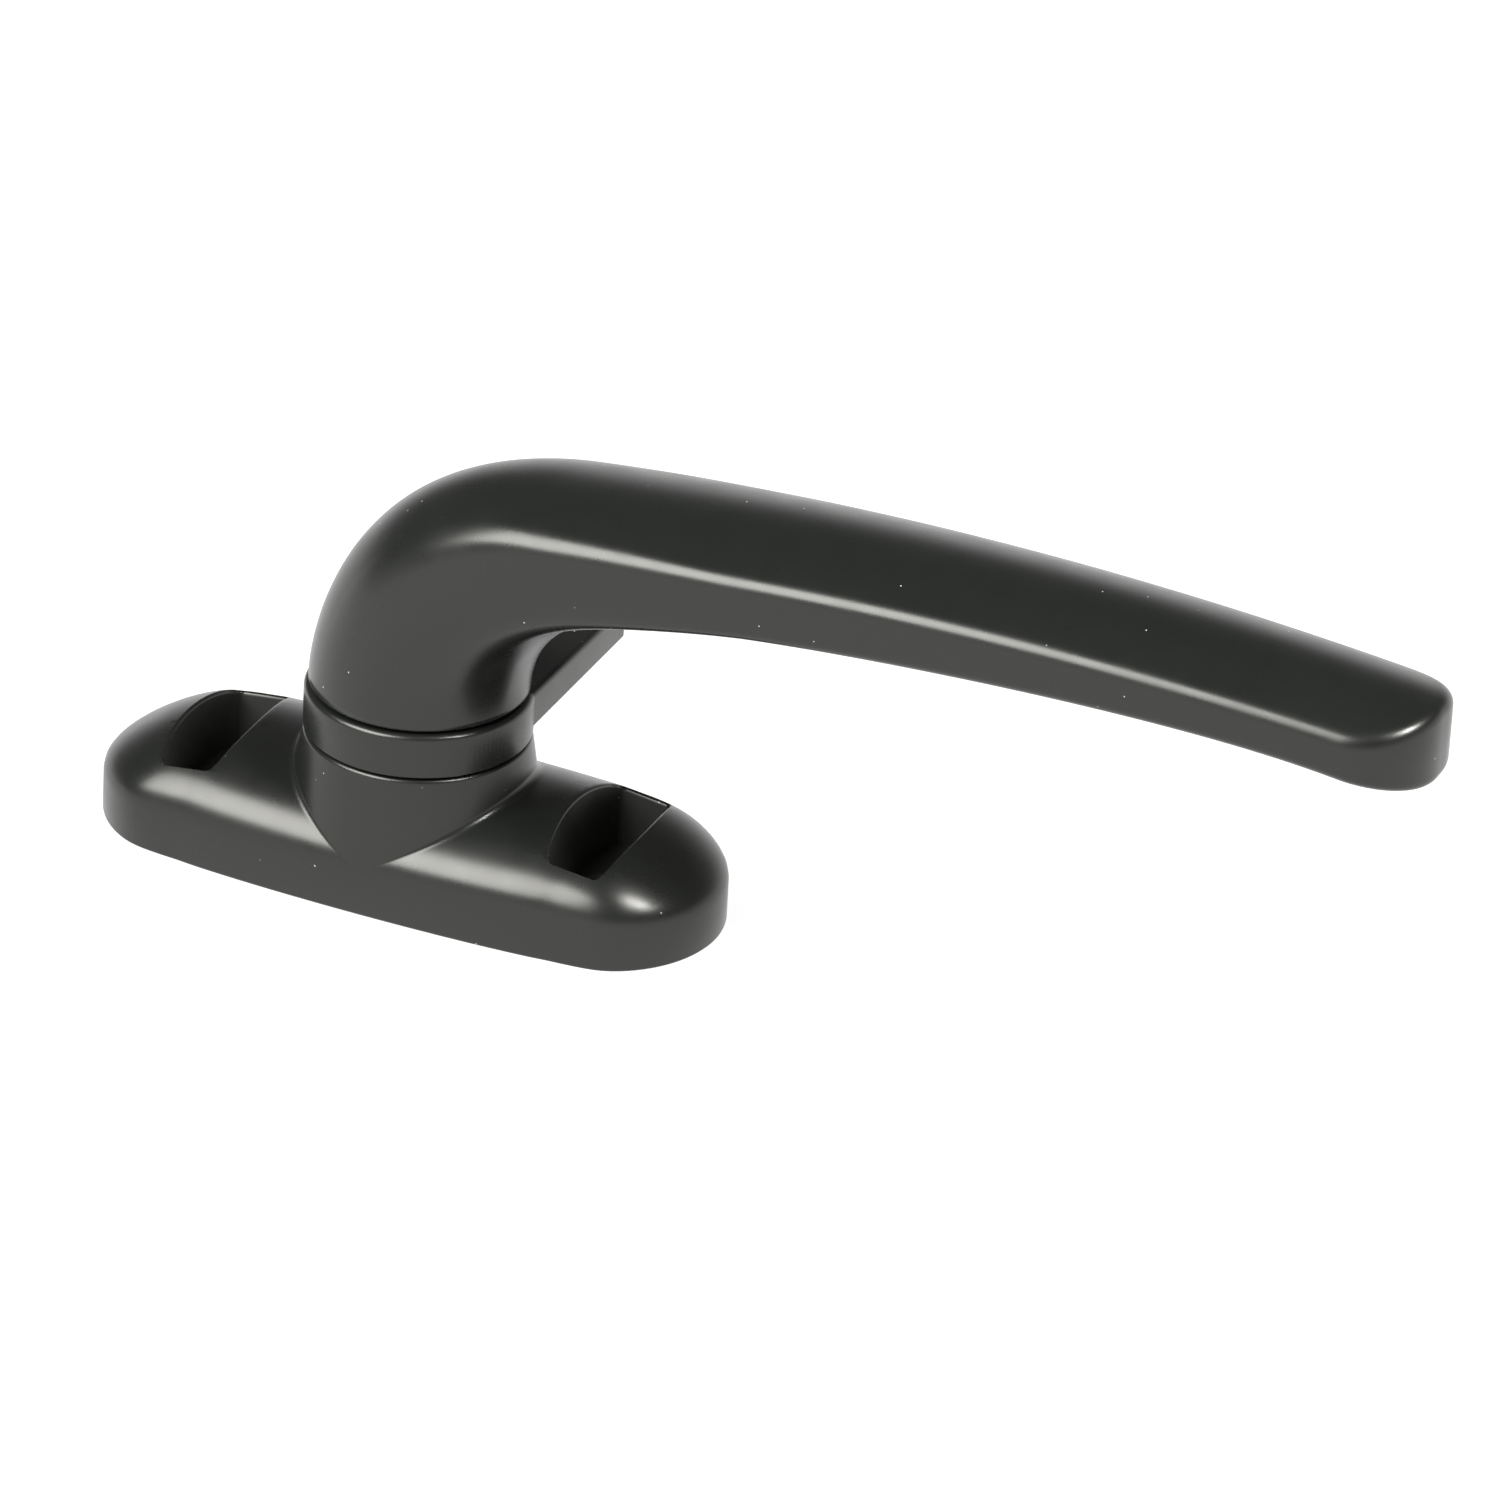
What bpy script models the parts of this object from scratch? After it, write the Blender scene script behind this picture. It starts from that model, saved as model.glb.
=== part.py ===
"""Tilt turn window handle: a domed base, a latching nose and an arched lever on one spindle.

The origin is on the turning axis, on the face that lies against the sash. X runs along the
base towards the lever's tip, Y towards the nose, and Z away from the sash. All sizes are in
metres, written as a number of millimetres times MM.
"""
import math

import bmesh
import bpy
from mathutils import Vector
from mathutils.geometry import interpolate_bezier

MM = 0.001

# ---- Fits ------------------------------------------------------------------------------------
FACE_GAP = 0.3 * MM          # between two stacked pieces
RUNNING_FIT = 0.2 * MM       # on the radius, where a round piece turns or slides
SQUARE_FIT = 0.3 * MM        # on each side of a square drive
TURNING_ROOM = 0.5 * MM      # round a piece that turns inside the base
CUT_MARGIN = 1.0 * MM        # by which a cutting or joining shape passes through a face

# ---- Base housing ----------------------------------------------------------------------------
BASE_END_SPACING = 51.2 * MM     # between the centres of the two round ends
BASE_END_TUCK = 0.656 * MM       # by which an end's radius is less than half the width
BASE_SIDE_RADIUS = 290.0 * MM    # of the bow of each long side
BASE_SIDE_HEIGHT = 5.4 * MM      # of the upright side, below the dome
DOME_RISE = 8.6 * MM
DOME_END_FALL = 0.43             # share of the dome's rise that is lost at its two ends
DOME_RIDGE = 43.0 * MM           # length of the level ridge in the middle
BOSS_RADIUS = 14.0 * MM          # at its top
BOSS_DRAFT = 0.13                # growth of its radius for each step down
BOSS_SHELF = 0.04 * MM           # from the boss's foot out to the upright side
BOSS_RISE = 4.6 * MM             # of the boss's top above the dome
BOSS_FILLET = 1.2 * MM
BOSS_EDGE = 0.6 * MM
END_WALL = 2.4 * MM              # round and above the hollow in each end
END_CORE_HEIGHT = 5.7 * MM

# ---- Screw windows ---------------------------------------------------------------------------
WINDOW_OFFSET = 0.35 * MM        # of each window's centre beyond its round end's centre
WINDOW_WIDTH = 6.7 * MM          # along X, at the window's ends
WINDOW_LENGTH = 21.0 * MM        # along Y
WINDOW_BULGE = 1.3 * MM          # of each long edge, at its middle
WINDOW_FLOOR = 3.4 * MM
SCREW_HOLE = 5.2 * MM            # diameter, for the screw into the sash

# ---- Mechanism, from the axis outwards -------------------------------------------------------
SPINDLE_SQUARE = 8.0 * MM
SPINDLE_GRIP = 18.5 * MM         # length of the square above the nose ring's underside
SPINDLE_CORNER = 0.5 * MM        # corner radius of both squares
JOURNAL_SHOULDER = 0.55 * MM     # of the round journal beyond the square's corners
FOOT_SQUARE = 7.0 * MM
BUSH_WALL = 1.1 * MM
BUSH_FLANGE_WIDTH = 1.4 * MM
BUSH_FLANGE_HEIGHT = 1.0 * MM
THRUST_LAND = 3.2 * MM           # width of the thrust washer's seat round the bore
THRUST_WASHER_HEIGHT = 0.65 * MM
THRUST_WASHER_PROUD = 0.15 * MM  # above the boss
WAVE_WASHER_HEIGHT = 0.3 * MM
WAVE_WASHER_RISE = 0.35 * MM     # of each of its waves
CAM_SQUARE = 14.4 * MM
CAM_CORNER = 3.6 * MM            # corner radius
CAM_HEIGHT = 3.3 * MM
STOP_DISC_RIM = 0.8 * MM         # beyond the stop pin's axis
STOP_DISC_HEIGHT = 1.1 * MM
STOP_PIN_RADIUS = 1.1 * MM
STOP_PIN_BITE = 3.6 * MM         # length pressed into the boss
SWING = math.radians(90)
SPRING_LEAF = 0.6 * MM           # thickness
SPRING_HEIGHT = 2.8 * MM
SPRING_LENGTH = 36.0 * MM
SPRING_BOW = 1.1 * MM
SLOT_CORNER = 1.0 * MM           # of the slot that holds both springs
FLAT_WASHER_RADIUS = 6.0 * MM
FLAT_WASHER_HEIGHT = 0.6 * MM
RETAINING_SCREW_RADIUS = 2.0 * MM
RETAINING_SCREW_LENGTH = 8.5 * MM
RETAINING_HEAD_RADIUS = 3.6 * MM
RETAINING_HEAD_HEIGHT = 1.2 * MM
HEX_KEY = 2.5 * MM               # across flats, in both socket screws
RETAINING_SOCKET = 0.8 * MM      # depth
COVER_HEIGHT = 1.2 * MM
COVER_LEDGE = 1.3 * MM           # width of the step that the cover sits on
COVER_CORNER = 2.0 * MM
COVER_WALL = 2.2 * MM            # left outside the cover's recess, along the flat sides
COVER_SCREW_RADIUS = 1.1 * MM
COVER_SCREW_LENGTH = 5.0 * MM
COVER_SCREW_HEAD = 2.1 * MM      # radius
CROSS_REACH = 1.25 * MM          # of each arm of a cover screw's cross recess
CROSS_HALF_WIDTH = 0.25 * MM
CROSS_DEPTH = 0.9 * MM

# ---- Nose ring -------------------------------------------------------------------------------
RING_HEIGHT = 5.55 * MM
RING_EDGE = 0.8 * MM
RING_LIFT = 0.45 * MM            # visible gap between the boss and the ring
NOSE_REACH = 31.5 * MM
NOSE_HALF_WIDTH = 13.3 * MM
NOSE_ROOT_HEIGHT = 4.8 * MM
NOSE_TIP_HEIGHT = 4.3 * MM
NOSE_CORNER = 1.6 * MM

# ---- Lever -----------------------------------------------------------------------------------
NECK_STEP = 0.5 * MM             # from the ring's outside in to the neck's
NECK_GAP = 0.4 * MM              # visible gap between the ring and the neck
LEVER_REACH = 130.4 * MM         # from the axis to the end of the grip
BEND_END = 45.0 * MM             # X where the bend ends and the straight arm starts
GRIP_HALF_WIDTH = 12.4 * MM      # at the end of the bend
TIP_HALF_WIDTH = 10.4 * MM
TIP_CORNER = 9.6 * MM            # radius in plan
GRIP_CROWN = math.radians(26)    # slope of the crowned top where it meets its edge rounding
GRIP_TOP_EDGE = 2.8 * MM
NECK_TOP_EDGE = 11.5 * MM        # the same edge where the neck starts to turn into the grip
GRIP_LOW_EDGE = 1.4 * MM
WIDTH_SETTLES = 0.57             # share of the bend that takes the neck's width to the grip's

# The lever's upper line in side view: from the neck over the shoulder to the tip. A rise is
# measured from the neck's foot, and a pull is the length of one handle of the curve.
UPPER_NECK_PULL = 7.8 * MM
SHOULDER_X = 16.1 * MM
SHOULDER_RISE = 31.8 * MM
SHOULDER_SLOPE = 0.087
SHOULDER_PULLS = (24.4 * MM, 18.6 * MM)
UPPER_TIP_RISE = 31.6 * MM
UPPER_TIP_SLOPE = -0.111
UPPER_TIP_PULL = 57.2 * MM

# The lever's lower line: from the neck round the throat of the bend to the tip
LOWER_NECK_PULL = 16.7 * MM
THROAT_X = 47.0 * MM
THROAT_RISE = 23.2 * MM
THROAT_SLOPE = 0.103
THROAT_PULLS = (8.0 * MM, 20.8 * MM)
LOWER_TIP_RISE = 21.6 * MM
LOWER_TIP_SLOPE = -0.417
LOWER_TIP_PULL = 13.6 * MM

SET_SCREW_RADIUS = 2.5 * MM
SET_SCREW_LENGTH = 7.5 * MM
SET_SCREW_SOCKET = 2.5 * MM      # depth
SET_SCREW_RISE = 6.0 * MM        # of its axis above the neck's foot

# ---- Heights that follow ---------------------------------------------------------------------
DOME_TOP = BASE_SIDE_HEIGHT + DOME_RISE
BOSS_TOP = DOME_TOP + BOSS_RISE
RING_FOOT = BOSS_TOP + RING_LIFT
RING_TOP = RING_FOOT + RING_HEIGHT
NECK_FOOT = RING_TOP + NECK_GAP
SPINDLE_TOP = RING_FOOT + SPINDLE_GRIP
THRUST_SEAT = BOSS_TOP + THRUST_WASHER_PROUD - THRUST_WASHER_HEIGHT - FACE_GAP
HEAD_FOOT = COVER_HEIGHT + FACE_GAP
FLAT_WASHER_FOOT = HEAD_FOOT + RETAINING_HEAD_HEIGHT + FACE_GAP
STOP_DISC_FOOT = FLAT_WASHER_FOOT + FLAT_WASHER_HEIGHT + FACE_GAP
CAM_FOOT = STOP_DISC_FOOT + STOP_DISC_HEIGHT + FACE_GAP
JOURNAL_FOOT = CAM_FOOT + CAM_HEIGHT + 0.5 * FACE_GAP
WAVE_FOOT = CAM_FOOT + CAM_HEIGHT + FACE_GAP
BUSH_FOOT = WAVE_FOOT + WAVE_WASHER_HEIGHT + WAVE_WASHER_RISE + FACE_GAP
ROUND_CEILING = BUSH_FOOT + BUSH_FLANGE_HEIGHT + FACE_GAP
SPRING_FOOT = CAM_FOOT + 0.5 * (CAM_HEIGHT - SPRING_HEIGHT)
SPRING_CEILING = SPRING_FOOT + SPRING_HEIGHT + FACE_GAP

# ---- Widths that follow ----------------------------------------------------------------------
BASE_HALF_WIDTH = BOSS_RADIUS + BOSS_DRAFT * (BOSS_TOP - BASE_SIDE_HEIGHT) + BOSS_SHELF
BASE_END_RADIUS = BASE_HALF_WIDTH - BASE_END_TUCK
END_CENTRE = 0.5 * BASE_END_SPACING
BASE_HALF_LENGTH = END_CENTRE + BASE_END_RADIUS
WINDOW_CENTRE = END_CENTRE + WINDOW_OFFSET
RING_RADIUS = BOSS_RADIUS
NECK_RADIUS = RING_RADIUS - NECK_STEP
SPINDLE_REACH = math.sqrt(2) * (0.5 * SPINDLE_SQUARE - SPINDLE_CORNER) + SPINDLE_CORNER
JOURNAL_RADIUS = SPINDLE_REACH + JOURNAL_SHOULDER
BUSH_BORE = JOURNAL_RADIUS + RUNNING_FIT
BUSH_RADIUS = BUSH_BORE + BUSH_WALL
BUSH_FLANGE = BUSH_RADIUS + BUSH_FLANGE_WIDTH
WAVE_WASHER_RADIUS = BUSH_FLANGE - FACE_GAP
HOUSING_BORE = BUSH_RADIUS + RUNNING_FIT
THRUST_WASHER_RADIUS = HOUSING_BORE + THRUST_LAND
SPRING_PLACE = 0.5 * CAM_SQUARE + FACE_GAP
CAM_REACH = math.sqrt(2) * (0.5 * CAM_SQUARE - CAM_CORNER) + CAM_CORNER
STOP_PIN_PLACE = max(BUSH_FLANGE, CAM_REACH) + FACE_GAP + STOP_PIN_RADIUS
STOP_DISC_RADIUS = STOP_PIN_PLACE + STOP_DISC_RIM
CAVITY_RADIUS = STOP_DISC_RADIUS + TURNING_ROOM
SLOT_HALF_WIDTH = max(CAM_REACH + SPRING_LEAF, SPRING_PLACE + SPRING_LEAF + SPRING_BOW) + FACE_GAP
SLOT_HALF_LENGTH = 0.5 * SPRING_LENGTH + TURNING_ROOM
RECESS_HALF_LENGTH = SLOT_HALF_LENGTH + COVER_LEDGE
RECESS_HALF_WIDTH = BASE_HALF_WIDTH - COVER_WALL
COVER_SCREW_X = RECESS_HALF_LENGTH - COVER_SCREW_HEAD - 2 * FACE_GAP
COVER_SCREW_Y = RECESS_HALF_WIDTH - COVER_SCREW_HEAD - 0.5 * FACE_GAP

# ---- Fineness of the round shapes ------------------------------------------------------------
ROUND_STEPS = 48
SMALL_STEPS = 24
OUTLINE_STEPS = 22               # along each flat side of the base, and round each of its ends
DOME_STEPS = 9
FILLET_STEPS = 5
EDGE_STEPS = 3
BEND_STEPS = 20
ARM_STEPS = 12
TIP_STEPS = 7                    # round each corner of the lever's tip


# ---- Scene and materials ---------------------------------------------------------------------
def clear_scene():
    """Removes every object, so that the script can run again in the same file."""
    for thing in list(bpy.data.objects):
        bpy.data.objects.remove(thing, do_unlink=True)


def finish(name, colour, roughness, metallic):
    """Returns a Principled material, made once for each name."""
    material = bpy.data.materials.get(name) or bpy.data.materials.new(name)
    material.use_nodes = True
    shader = material.node_tree.nodes["Principled BSDF"]
    shader.inputs["Base Color"].default_value = (*colour, 1.0)
    shader.inputs["Roughness"].default_value = roughness
    shader.inputs["Metallic"].default_value = metallic
    material.diffuse_color = (*colour, 1.0)
    return material


def powder_coat():
    return finish("charcoal_powder_coat", (0.045, 0.048, 0.046), 0.42, 0.0)


def plated_steel():
    return finish("plated_steel", (0.62, 0.61, 0.58), 0.34, 1.0)


def spring_steel():
    return finish("spring_steel", (0.30, 0.31, 0.34), 0.30, 1.0)


def acetal():
    return finish("natural_acetal", (0.80, 0.79, 0.74), 0.45, 0.0)


def axis_empty(name, place):
    """Adds an empty that carries the pieces of one moving body."""
    empty = bpy.data.objects.new(name, None)
    empty.empty_display_size = 10 * MM
    empty.location = place
    bpy.context.collection.objects.link(empty)
    return empty


def place_piece(name, bm, material, parent=None, location=(0, 0, 0)):
    """Turns a bmesh into a named object with its material and smooth round faces."""
    bmesh.ops.recalc_face_normals(bm, faces=bm.faces)
    mesh = bpy.data.meshes.new(name)
    bm.to_mesh(mesh)
    bm.free()
    mesh.shade_smooth()
    mesh.set_sharp_from_angle(angle=math.radians(35))
    mesh.materials.append(material)
    piece = bpy.data.objects.new(name, mesh)
    piece.parent = parent
    piece.location = location
    bpy.context.collection.objects.link(piece)
    return piece


def guide(name, bm, location=(0, 0, 0)):
    """Makes a hidden wire object for a Boolean modifier."""
    shape = place_piece(name, bm, powder_coat(), location=location)
    shape.hide_render = True
    shape.display_type = "WIRE"
    return shape


def boolean(piece, shape, operation="DIFFERENCE"):
    """Adds an exact Boolean that cuts the shape from the piece, or joins it on."""
    modifier = piece.modifiers.new(shape.name, "BOOLEAN")
    modifier.operation = operation
    modifier.solver = "EXACT"
    modifier.object = shape


# ---- Outlines, as lists of (x, y) or (radius, z) ---------------------------------------------
def arc(centre, radius, start, end, steps):
    """Points on an arc, both ends included, with the angles in radians."""
    turn = [start + (end - start) * step / steps for step in range(steps + 1)]
    return [(centre[0] + radius * math.cos(a), centre[1] + radius * math.sin(a)) for a in turn]


def circle(radius, steps, centre=(0, 0)):
    return arc(centre, radius, 0, 2 * math.pi, steps)[:-1]


def rounded_box(half_x, half_y, corner, steps):
    """Outline of a rectangle with round corners, anticlockwise."""
    outline = []
    for quarter, (sx, sy) in enumerate(((1, 1), (-1, 1), (-1, -1), (1, -1))):
        centre = (sx * (half_x - corner), sy * (half_y - corner))
        start = quarter * math.pi / 2
        outline += arc(centre, corner, start, start + math.pi / 2, steps)
    return outline


def square(side):
    half = 0.5 * side
    return [(half, half), (-half, half), (-half, -half), (half, -half)]


def hexagon(across_flats):
    return circle(across_flats / math.sqrt(3), 6)


def barrel(width, length, bulge, steps):
    """Outline with straight ends and bulging long edges, anticlockwise."""
    half_x, half_y = 0.5 * width, 0.5 * length
    radius = (half_y ** 2 + bulge ** 2) / (2 * bulge)
    reach = math.asin(half_y / radius)
    middle = half_x + bulge - radius
    right = arc((middle, 0), radius, -reach, reach, steps)
    return right + [(-x, -y) for x, y in right]


# ---- Solids, as bmeshes ----------------------------------------------------------------------
def loft(rings, closed=False):
    """Joins rings of equally many points. The ends are capped, or joined when closed."""
    bm = bmesh.new()
    rows = [[bm.verts.new(point) for point in ring] for ring in rings]
    pairs = list(zip(rows, rows[1:]))
    if closed:
        pairs.append((rows[-1], rows[0]))
    for low, high in pairs:
        for i, vert in enumerate(low):
            j = (i + 1) % len(low)
            bm.faces.new((vert, low[j], high[j], high[i]))
    if not closed:
        bm.faces.new(rows[0])
        bm.faces.new(rows[-1])
    return bm


def prism(outline, low, high):
    return loft([[(x, y, z) for x, y in outline] for z in (low, high)])


def turned(profile, steps, closed=False):
    """Turns a profile of (radius, z) points about Z."""
    rings = [[(x, y, z) for x, y in circle(radius, steps)] for radius, z in profile]
    return loft(rings, closed)


def washer(inner, outer, low, high, steps=ROUND_STEPS):
    profile = [(inner, low), (outer, low), (outer, high), (inner, high)]
    return turned(profile, steps, closed=True)


def laid_along_y(bm):
    """Turns a solid made along Z so that it lies along +Y."""
    for vert in bm.verts:
        vert.co = Vector((vert.co.x, vert.co.z, -vert.co.y))
    return bm


# ---- Base housing ----------------------------------------------------------------------------
def side_width(x):
    """Half the base's width between its slightly bowed long sides, at one X."""
    return BASE_HALF_WIDTH - BASE_SIDE_RADIUS + math.sqrt(BASE_SIDE_RADIUS ** 2 - x ** 2)


def dome_height(x, y):
    """Height of the dome: elliptical across, level along its ridge and falling at its ends."""
    share = abs(y) / side_width(x)
    if abs(x) > END_CENTRE:
        share = max(share, math.hypot(abs(x) - END_CENTRE, y) / BASE_END_RADIUS)
    along = max(abs(x) - 0.5 * DOME_RIDGE, 0) / (BASE_HALF_LENGTH - 0.5 * DOME_RIDGE)
    rise = DOME_RISE * (1 - DOME_END_FALL * along ** 2)
    return BASE_SIDE_HEIGHT + rise * math.sqrt(1 - min(share, 1.0) ** 2)


def outline_corner():
    """Where a bowed side meets a round end, as a distance along X from the axis."""
    drop = BASE_SIDE_RADIUS - BASE_HALF_WIDTH
    reach = math.hypot(END_CENTRE, drop)
    turn = math.acos((reach ** 2 + BASE_END_RADIUS ** 2 - BASE_SIDE_RADIUS ** 2)
                     / (2 * reach * BASE_END_RADIUS))
    angle = math.atan2(-drop, -END_CENTRE) - turn
    return END_CENTRE + BASE_END_RADIUS * math.cos(angle)


def base_outline():
    """The base's outline in plan: two bowed sides and two round ends that meet at corners."""
    corner_x = outline_corner()
    turn = math.acos((corner_x - END_CENTRE) / BASE_END_RADIUS)
    end = arc((END_CENTRE, 0), BASE_END_RADIUS, -turn, turn, OUTLINE_STEPS)
    side = []
    for step in range(1, OUTLINE_STEPS):
        x = corner_x * (1 - 2 * step / OUTLINE_STEPS)
        side.append((x, side_width(x)))
    half = end + side
    return half + [(-x, -y) for x, y in half]


def dome_curve(direction, reach, start):
    """Fine (distance, height) points on the dome, from the outline in to the start distance."""
    curve = []
    fine = 160
    for step in range(fine + 1):
        distance = reach - (reach - start) * (1 - math.cos(0.5 * math.pi * step / fine))
        curve.append((distance, dome_height(direction[0] * distance, direction[1] * distance)))
    return curve


def fillet_circle(curve):
    """The circle that rests on the dome and on the boss's slanting wall.

    Gives its centre and the index of the point on the curve that it rests on.
    """
    height = BOSS_TOP
    for _ in range(12):
        wall = BOSS_RADIUS + BOSS_DRAFT * (BOSS_TOP - height)
        middle = wall + BOSS_FILLET * math.hypot(1, BOSS_DRAFT)
        rests = []
        for index, (s, z) in enumerate(curve):
            if abs(s - middle) < BOSS_FILLET:
                rests.append((z + math.sqrt(BOSS_FILLET ** 2 - (s - middle) ** 2), index))
        height, touch = max(rests)
    return (middle, height), max(touch, 1)


def even_points(curve, steps):
    """Points at even distances along a fine curve, both ends included."""
    lengths = [0.0]
    for (s0, z0), (s1, z1) in zip(curve, curve[1:]):
        lengths.append(lengths[-1] + math.hypot(s1 - s0, z1 - z0))
    points = []
    index = 0
    for step in range(steps + 1):
        target = lengths[-1] * step / steps
        while index < len(curve) - 2 and lengths[index + 1] < target:
            index += 1
        span = lengths[index + 1] - lengths[index]
        share = (target - lengths[index]) / span
        (s0, z0), (s1, z1) = curve[index], curve[index + 1]
        points.append((s0 + (s1 - s0) * share, z0 + (z1 - z0) * share))
    return points


def base_profile(direction, reach):
    """The base's outer profile in one direction from the axis, from its foot to the boss's top."""
    curve = dome_curve(direction, reach, BOSS_RADIUS)
    centre, touch = fillet_circle(curve)
    (s0, z0), (s1, z1) = curve[touch], centre
    start = math.atan2(z0 - z1, s0 - s1) % (2 * math.pi)
    lean = math.atan(BOSS_DRAFT)
    fillet = arc(centre, BOSS_FILLET, start, math.pi + lean, FILLET_STEPS)[1:]
    edge_centre = (BOSS_RADIUS - BOSS_EDGE, BOSS_TOP - BOSS_EDGE)
    edge = arc(edge_centre, BOSS_EDGE, lean, math.pi / 2, EDGE_STEPS)
    return [(reach, 0.0)] + even_points(curve[:touch + 1], DOME_STEPS) + fillet + edge


def base_shell():
    """The base's outside, lofted round the axis."""
    columns = []
    for x, y in base_outline():
        reach = math.hypot(x, y)
        direction = (x / reach, y / reach)
        profile = base_profile(direction, reach)
        columns.append([(direction[0] * s, direction[1] * s, z) for s, z in profile])
    rings = [list(ring) for ring in zip(*columns)]
    return loft(rings)


def base_housing():
    """The cast base with its windows, its bore and the cavity for the mechanism."""
    housing = place_piece("base_housing", base_shell(), powder_coat())
    below, above = -CUT_MARGIN, BOSS_TOP + CUT_MARGIN
    cuts = {
        "bore_cut": prism(circle(HOUSING_BORE, ROUND_STEPS), below, above),
        "thrust_seat_cut": prism(circle(THRUST_WASHER_RADIUS + FACE_GAP, ROUND_STEPS),
                                 THRUST_SEAT, above),
        "cavity_cut": prism(circle(CAVITY_RADIUS, ROUND_STEPS), below, ROUND_CEILING),
        "spring_slot_cut": prism(rounded_box(SLOT_HALF_LENGTH, SLOT_HALF_WIDTH, SLOT_CORNER, 3),
                                 below, SPRING_CEILING),
        "cover_recess_cut": prism(rounded_box(RECESS_HALF_LENGTH, RECESS_HALF_WIDTH,
                                              COVER_CORNER, 4),
                                  below, COVER_HEIGHT + FACE_GAP),
    }
    for name, shape in cuts.items():
        boolean(housing, guide(name, shape))
    pin_hole = circle(STOP_PIN_RADIUS + RUNNING_FIT, SMALL_STEPS, (STOP_PIN_PLACE, 0))
    boolean(housing, guide("pin_hole_cut", prism(pin_hole, ROUND_CEILING - CUT_MARGIN,
                                                 ROUND_CEILING + STOP_PIN_BITE + FACE_GAP)))
    for side, label in ((1, "right"), (-1, "left")):
        place = (side * WINDOW_CENTRE, 0, 0)
        window = barrel(WINDOW_WIDTH, WINDOW_LENGTH, WINDOW_BULGE, 8)
        pocket = prism(window, WINDOW_FLOOR, BOSS_TOP)
        boolean(housing, guide(f"{label}_window_cut", pocket, place))
        hole = prism(circle(0.5 * SCREW_HOLE, SMALL_STEPS), below, WINDOW_FLOOR + CUT_MARGIN)
        boolean(housing, guide(f"{label}_screw_cut", hole, place))
        boolean(housing, guide(f"{label}_core_cut", end_core(side)))
    for number, place in enumerate(cover_screw_places(), 1):
        hole = prism(circle(COVER_SCREW_RADIUS + RUNNING_FIT, SMALL_STEPS), COVER_HEIGHT,
                     COVER_SCREW_LENGTH + 2 * FACE_GAP)
        boolean(housing, guide(f"cover_hole_{number}_cut", hole, place))
    return housing


def end_core(side):
    """The hollow that lightens one end of the base, open underneath."""
    near = WINDOW_CENTRE + 0.5 * WINDOW_WIDTH + WINDOW_BULGE + END_WALL
    radius = BASE_END_RADIUS - END_WALL
    reach = math.acos((near - END_CENTRE) / radius)
    bow = arc((END_CENTRE, 0), radius, -reach, reach, 12)
    outline = [(side * x, side * y) for x, y in bow]
    return prism(outline, -CUT_MARGIN, END_CORE_HEIGHT)


def cover_screw_places():
    return [(sx * COVER_SCREW_X, sy * COVER_SCREW_Y, 0) for sx in (1, -1) for sy in (1, -1)]


# ---- Pieces that stay on the base ------------------------------------------------------------
def spindle_bush():
    top = THRUST_SEAT - FACE_GAP
    profile = [(BUSH_BORE, BUSH_FOOT), (BUSH_FLANGE, BUSH_FOOT),
               (BUSH_FLANGE, BUSH_FOOT + BUSH_FLANGE_HEIGHT),
               (BUSH_RADIUS, BUSH_FOOT + BUSH_FLANGE_HEIGHT), (BUSH_RADIUS, top),
               (BUSH_BORE, top)]
    place_piece("spindle_bush", turned(profile, ROUND_STEPS, closed=True), acetal())


def thrust_washer():
    low = THRUST_SEAT + FACE_GAP
    shape = washer(BUSH_BORE + RUNNING_FIT, THRUST_WASHER_RADIUS, low, low + THRUST_WASHER_HEIGHT)
    place_piece("thrust_washer", shape, acetal())


def index_spring(name, side):
    """A bowed leaf spring whose middle lies against the cam's flat."""
    rings = []
    steps = 12
    low, high = SPRING_FOOT, SPRING_FOOT + SPRING_HEIGHT
    for step in range(steps + 1):
        x = SPRING_LENGTH * (step / steps - 0.5)
        near = SPRING_PLACE + SPRING_BOW * (2 * x / SPRING_LENGTH) ** 2
        far = near + SPRING_LEAF
        rings.append([(x, side * y, z) for y, z in
                      ((near, low), (far, low), (far, high), (near, high))])
    place_piece(name, loft(rings), spring_steel())


def stop_pin():
    """The pin that stands down from the boss into the stop disc's notch."""
    chamfer = 0.25 * MM
    low, high = STOP_DISC_FOOT - FACE_GAP, ROUND_CEILING + STOP_PIN_BITE
    profile = [(STOP_PIN_RADIUS - chamfer, low), (STOP_PIN_RADIUS, low + chamfer),
               (STOP_PIN_RADIUS, high - chamfer), (STOP_PIN_RADIUS - chamfer, high)]
    place_piece("stop_pin", turned(profile, SMALL_STEPS), plated_steel(),
                location=(STOP_PIN_PLACE, 0, 0))


def base_cover():
    """The plate that closes the underside, with countersunk holes at its corners."""
    outline = rounded_box(RECESS_HALF_LENGTH - FACE_GAP, RECESS_HALF_WIDTH - FACE_GAP,
                          COVER_CORNER - FACE_GAP, 4)
    cover = place_piece("base_cover", prism(outline, 0, COVER_HEIGHT), plated_steel())
    for number, place in enumerate(cover_screw_places(), 1):
        wide = COVER_SCREW_HEAD + RUNNING_FIT
        narrow = COVER_SCREW_RADIUS + RUNNING_FIT
        flare = (wide - narrow) / COVER_HEIGHT * CUT_MARGIN
        profile = [(wide + flare, -CUT_MARGIN), (narrow, COVER_HEIGHT),
                   (narrow, COVER_HEIGHT + CUT_MARGIN)]
        boolean(cover, guide(f"countersink_{number}_cut", turned(profile, SMALL_STEPS), place))


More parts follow.
